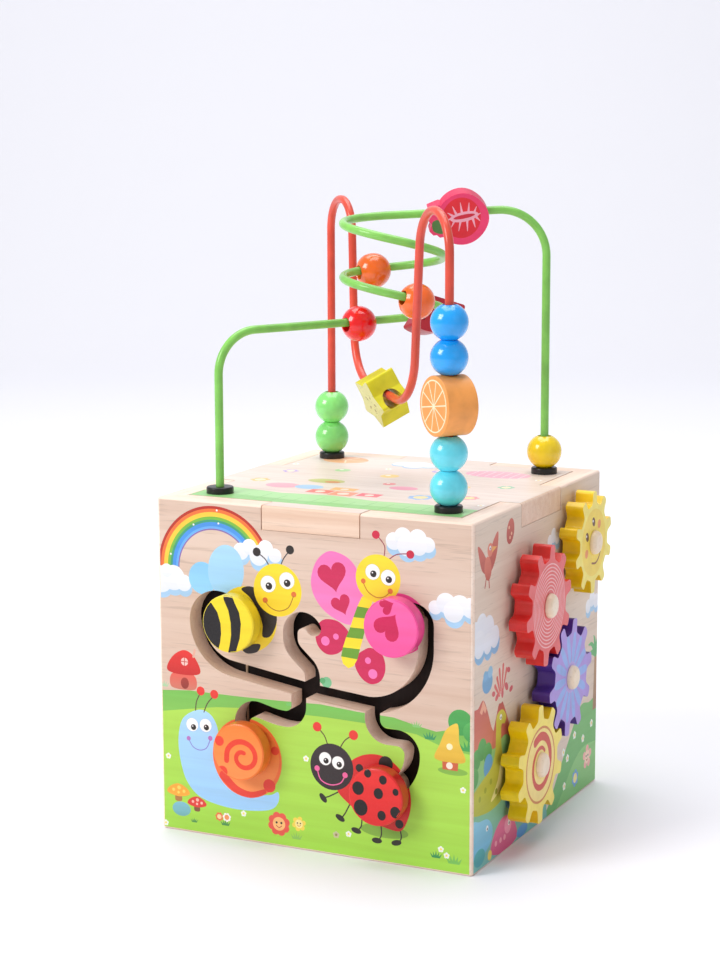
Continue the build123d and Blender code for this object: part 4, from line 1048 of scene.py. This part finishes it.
def knob_wrap(x, y):
    """Depth of a knob's rounded edge below its face."""
    past = math.hypot(x, y) - KNOB_FLAT
    return KNOB_EDGE - math.sqrt(max(KNOB_EDGE ** 2 - past ** 2, 0.0)) if past > 0 else 0.0


def flat_side(name, out_hint, right_hint):
    """A piece's largest flat side towards out_hint: its plane, centred on its outline, and its loops."""
    ob = nodes[name]
    turn = ob.matrix_world.to_3x3()
    best = {}
    for poly in ob.data.polygons:
        normal = (turn @ poly.normal).normalized()
        if normal.dot(out_hint) > 0.6:
            key = tuple(round(c, 3) for c in normal)
            best[key] = best.get(key, 0.0) + poly.area
    out = Vector(max(best, key=best.get)).normalized()
    level = max((ob.matrix_world @ v.co).dot(out) for v in ob.data.vertices)
    right = (right_hint - out * right_hint.dot(out)).normalized()
    up = out.cross(right)
    plane = (out * level, right, up, out)
    loops = on_plane(face_loops(name, out, level, 0.03 * MM), plane)
    xs = [p[0] for l in loops for p in l]
    ys = [p[1] for l in loops for p in l]
    cx, cy = (min(xs) + max(xs)) / 2, (min(ys) + max(ys)) / 2
    origin = out * level + right * (cx * MM) + up * (cy * MM)
    return (origin, right, up, out), [[(x - cx, y - cy) for x, y in l] for l in loops]


front_ink = ink("front_ink", "x", PALE, PALE_DARK)
# Side walls: ink over the greyer copy of the wood, which carries painted shade colour.
side_ink = ink("side_ink", "y", *SHADE_TONED_WOOD)
lid_ink = ink("lid_ink", "x", rgb(0xEEE0D7), rgb(0xDECBBE), 0.94, 1.0, 0.08, 0.35)
gloss_ink = ink("gloss_ink", "x", PALE, PALE_DARK, strength=1.0, contrast=0.6)

WALLS = (("front_print", "front_panel", "wall_front", front_ink, FRONT, front_art()),
         ("right_print", "right_panel", "wall_right", side_ink, RIGHT, right_art()),
         ("back_print", "back_panel", "wall_back", front_ink, BACK, back_art()),
         ("left_print", "left_panel", "wall_left", side_ink, LEFT, left_art()))
for sheet_name, node, slot_name, material, plane, art in WALLS:
    print_sheet(sheet_name, "box", material, plane, on_plane(face_loops(node, plane[3], HALF),
        plane), art)
TOP = (Z * LID_TOP, X, Y, Z)
print_sheet("lid_print", "lid", lid_ink, TOP, on_plane(face_loops("lid", Z, LID_TOP), TOP),
    lid_art())

KNOBS = (("bee", bee_art()), ("butterfly", butterfly_art()), ("snail", snail_art()),
    ("ladybug", ladybug_art()))
for animal, art in KNOBS:
    low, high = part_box(animal + "_knob")
    origin = Vector(((low[0] + high[0]) / 2, low[1], (low[2] + high[2]) / 2))
    rim = ellipse(0, 0, KNOB_FLAT + 0.8, count=72)
    print_sheet(animal + "_print", animal + "_slider", gloss_ink, (origin, X, Z, -Y),
        [rim], art, knob_wrap)

GEARS = (("gear_sun", sun_gear_art()), ("gear_red", red_gear_art()), ("gear_purple", purple_gear_art()),
         ("gear_yellow", yellow_gear_art()))
for gear, art in GEARS:
    plane, loops = flat_side(gear, X, Y)
    print_sheet(gear + "_print", gear, gloss_ink, plane, loops, art)

ALONG = Vector((0.878, 0.477, 0.04))
FRUITS = (("orange_slice", "fruit_orange", slice_art(), Vector((-0.616, -0.788, 0)),
    Vector((0.788, -0.616, 0))), ("star_fruit", "fruit_star", star_art(), Vector((-0.609, -0.659, -0.442)),
    Vector((0.748, -0.662, -0.045))), ("strawberry", "fruit_strawberry", berry_art(),
    Vector((0.456, -0.84, -0.29)), ALONG), ("watermelon", "fruit_watermelon", melon_art(),
    Vector((0.756, -0.623, 0.202)), Vector((0.62, 0.78, 0))))
for fruit, slot_name, art, out_hint, right_hint in FRUITS:
    for side, label in ((1, "front"), (-1, "back")):
        plane, loops = flat_side(fruit, out_hint * side, right_hint)
        print_sheet(f"{fruit}_{label}_print", fruit, gloss_ink, plane, loops, art)


def clock_numerals():
    """Numbers of the dial, one closed mesh."""
    verts, faces = [], []
    for hour in range(1, 13):
        curve = bpy.data.curves.new("numeral", "FONT")
        curve.body = str(hour)
        curve.size = NUMERAL_SIZE
        curve.align_x = "CENTER"
        curve.align_y = "CENTER"
        curve.extrude = NUMERAL_HALF_T
        holder = bpy.data.objects.new("numeral", curve)
        mesh = bpy.data.meshes.new_from_object(holder)
        x, z = polar(NUMERAL_RING, 90 - 30 * hour, *CLOCK)
        centre = BACK[0] + BACK[1] * (x * MM) + Z * (z * MM) + Y * NUMERAL_LIFT
        first = len(verts)
        verts += [centre + BACK[1] * v.co.x + Z * v.co.y + Y * v.co.z for v in mesh.vertices]
        faces += [[first + i for i in poly.vertices] for poly in mesh.polygons]
        bpy.data.objects.remove(holder)
        bpy.data.curves.remove(curve)
        bpy.data.meshes.remove(mesh)
    mesh = bpy.data.meshes.new("clock_numerals")
    mesh.from_pydata(verts, [], faces)
    work = bmesh.new()
    work.from_mesh(mesh)
    bmesh.ops.remove_doubles(work, verts=work.verts, dist=1e-6)
    work.to_mesh(mesh)
    work.free()
    mesh.materials.append(paint("numeral_paint", rgb(0x282C3C), rough=0.45, coat=0.1))
    numerals = bpy.data.objects.new("clock_numerals", mesh)
    scene.collection.objects.link(numerals)
    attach(numerals, "box")


clock_numerals()

# Room, light and camera


def room_material(name, colour, rough):
    n = Nodes(name, rough=rough)
    n.colour(n.mix(n.math("MULTIPLY", n.noise(3), 0.02), colour, (0.9, 0.9, 0.9)))
    return n.mat


def sweep_floor():
    """Floor that curves up into a wall far behind."""
    profile = [(-3.0, 0.0), (2.2, 0.0)] + [(2.2 + 0.8 * math.sin(a), 0.8 - 0.8 * math.cos(a))
                                          for a in [math.radians(9 * k) for k in range(1, 11)]] + [(3.0, 3.6)]
    verts, faces = [], []
    for depth, height in profile:
        for side in (-4.0, 4.0):
            verts.append((side, depth, height))
    for k in range(len(profile) - 1):
        faces.append((2 * k, 2 * k + 1, 2 * k + 3, 2 * k + 2))
    mesh = bpy.data.meshes.new("floor")
    mesh.from_pydata(verts, [], faces)
    mesh.materials.append(room_material("floor_paper", rgb(0xF1F1F6), 0.7))
    for poly in mesh.polygons:
        poly.use_smooth = True
    floor = bpy.data.objects.new("floor", mesh)
    floor.rotation_euler = (0, 0, math.radians(26))
    scene.collection.objects.link(floor)


sweep_floor()


def area_light(name, position, target, size, power, colour=(1, 1, 1)):
    data = bpy.data.lights.new(name, "AREA")
    data.shape = "RECTANGLE"
    data.size, data.size_y = size
    data.energy = power
    data.color = colour
    lamp = bpy.data.objects.new(name, data)
    lamp.location = position
    lamp.rotation_euler = (Vector(target) - Vector(position)).to_track_quat("-Z", "Y").to_euler()
    scene.collection.objects.link(lamp)


MIDDLE = (0, 0, 0.15)
area_light("key", (-1.35, -1.75, 1.55), MIDDLE, (1.1, 1.1), 37, (1.0, 0.985, 0.965))
area_light("top", (-0.2, 0.3, 2.3), MIDDLE, (1.8, 1.8), 34)
area_light("fill", (2.2, -0.9, 1.1), MIDDLE, (1.6, 1.6), 2, (0.96, 0.97, 1.0))

area_light("backdrop", (-0.6, 1.6, 2.6), (-1.2, 3.0, 0.6), (2.5, 1.0), 14)

world = bpy.data.worlds.new("room")
scene.world = world
world.use_nodes = True
sky = world.node_tree.nodes["Background"]
sky.inputs["Color"].default_value = (0.95, 0.955, 1.0, 1.0)
# The room gives half light, and looks pale where it is seen past the floor.
seen = world.node_tree.nodes.new("ShaderNodeLightPath").outputs["Is Camera Ray"]
glow = world.node_tree.nodes.new("ShaderNodeMath")
glow.operation = "MULTIPLY_ADD"
glow.inputs[1].default_value = 0.45
glow.inputs[2].default_value = 0.5
world.node_tree.links.new(seen, glow.inputs[0])
world.node_tree.links.new(glow.outputs[0], sky.inputs["Strength"])

CAMERA_AT = Vector((560.3, -1184.9, 422.8)) * MM
LOOK_AT = Vector((-14.1, -6.9, 201.7)) * MM
camera_data = bpy.data.cameras.new("camera")
camera_data.sensor_width = 36.0
camera_data.lens = 83.0
camera_data.clip_start = 0.05
camera = bpy.data.objects.new("camera", camera_data)
camera.location = CAMERA_AT
camera.rotation_euler = ((LOOK_AT - CAMERA_AT).to_track_quat("-Z", "Y").to_matrix()
                         @ Matrix.Rotation(math.radians(-0.153), 3, "Z")).to_euler()
scene.collection.objects.link(camera)
scene.camera = camera
scene.view_settings.view_transform = "Standard"
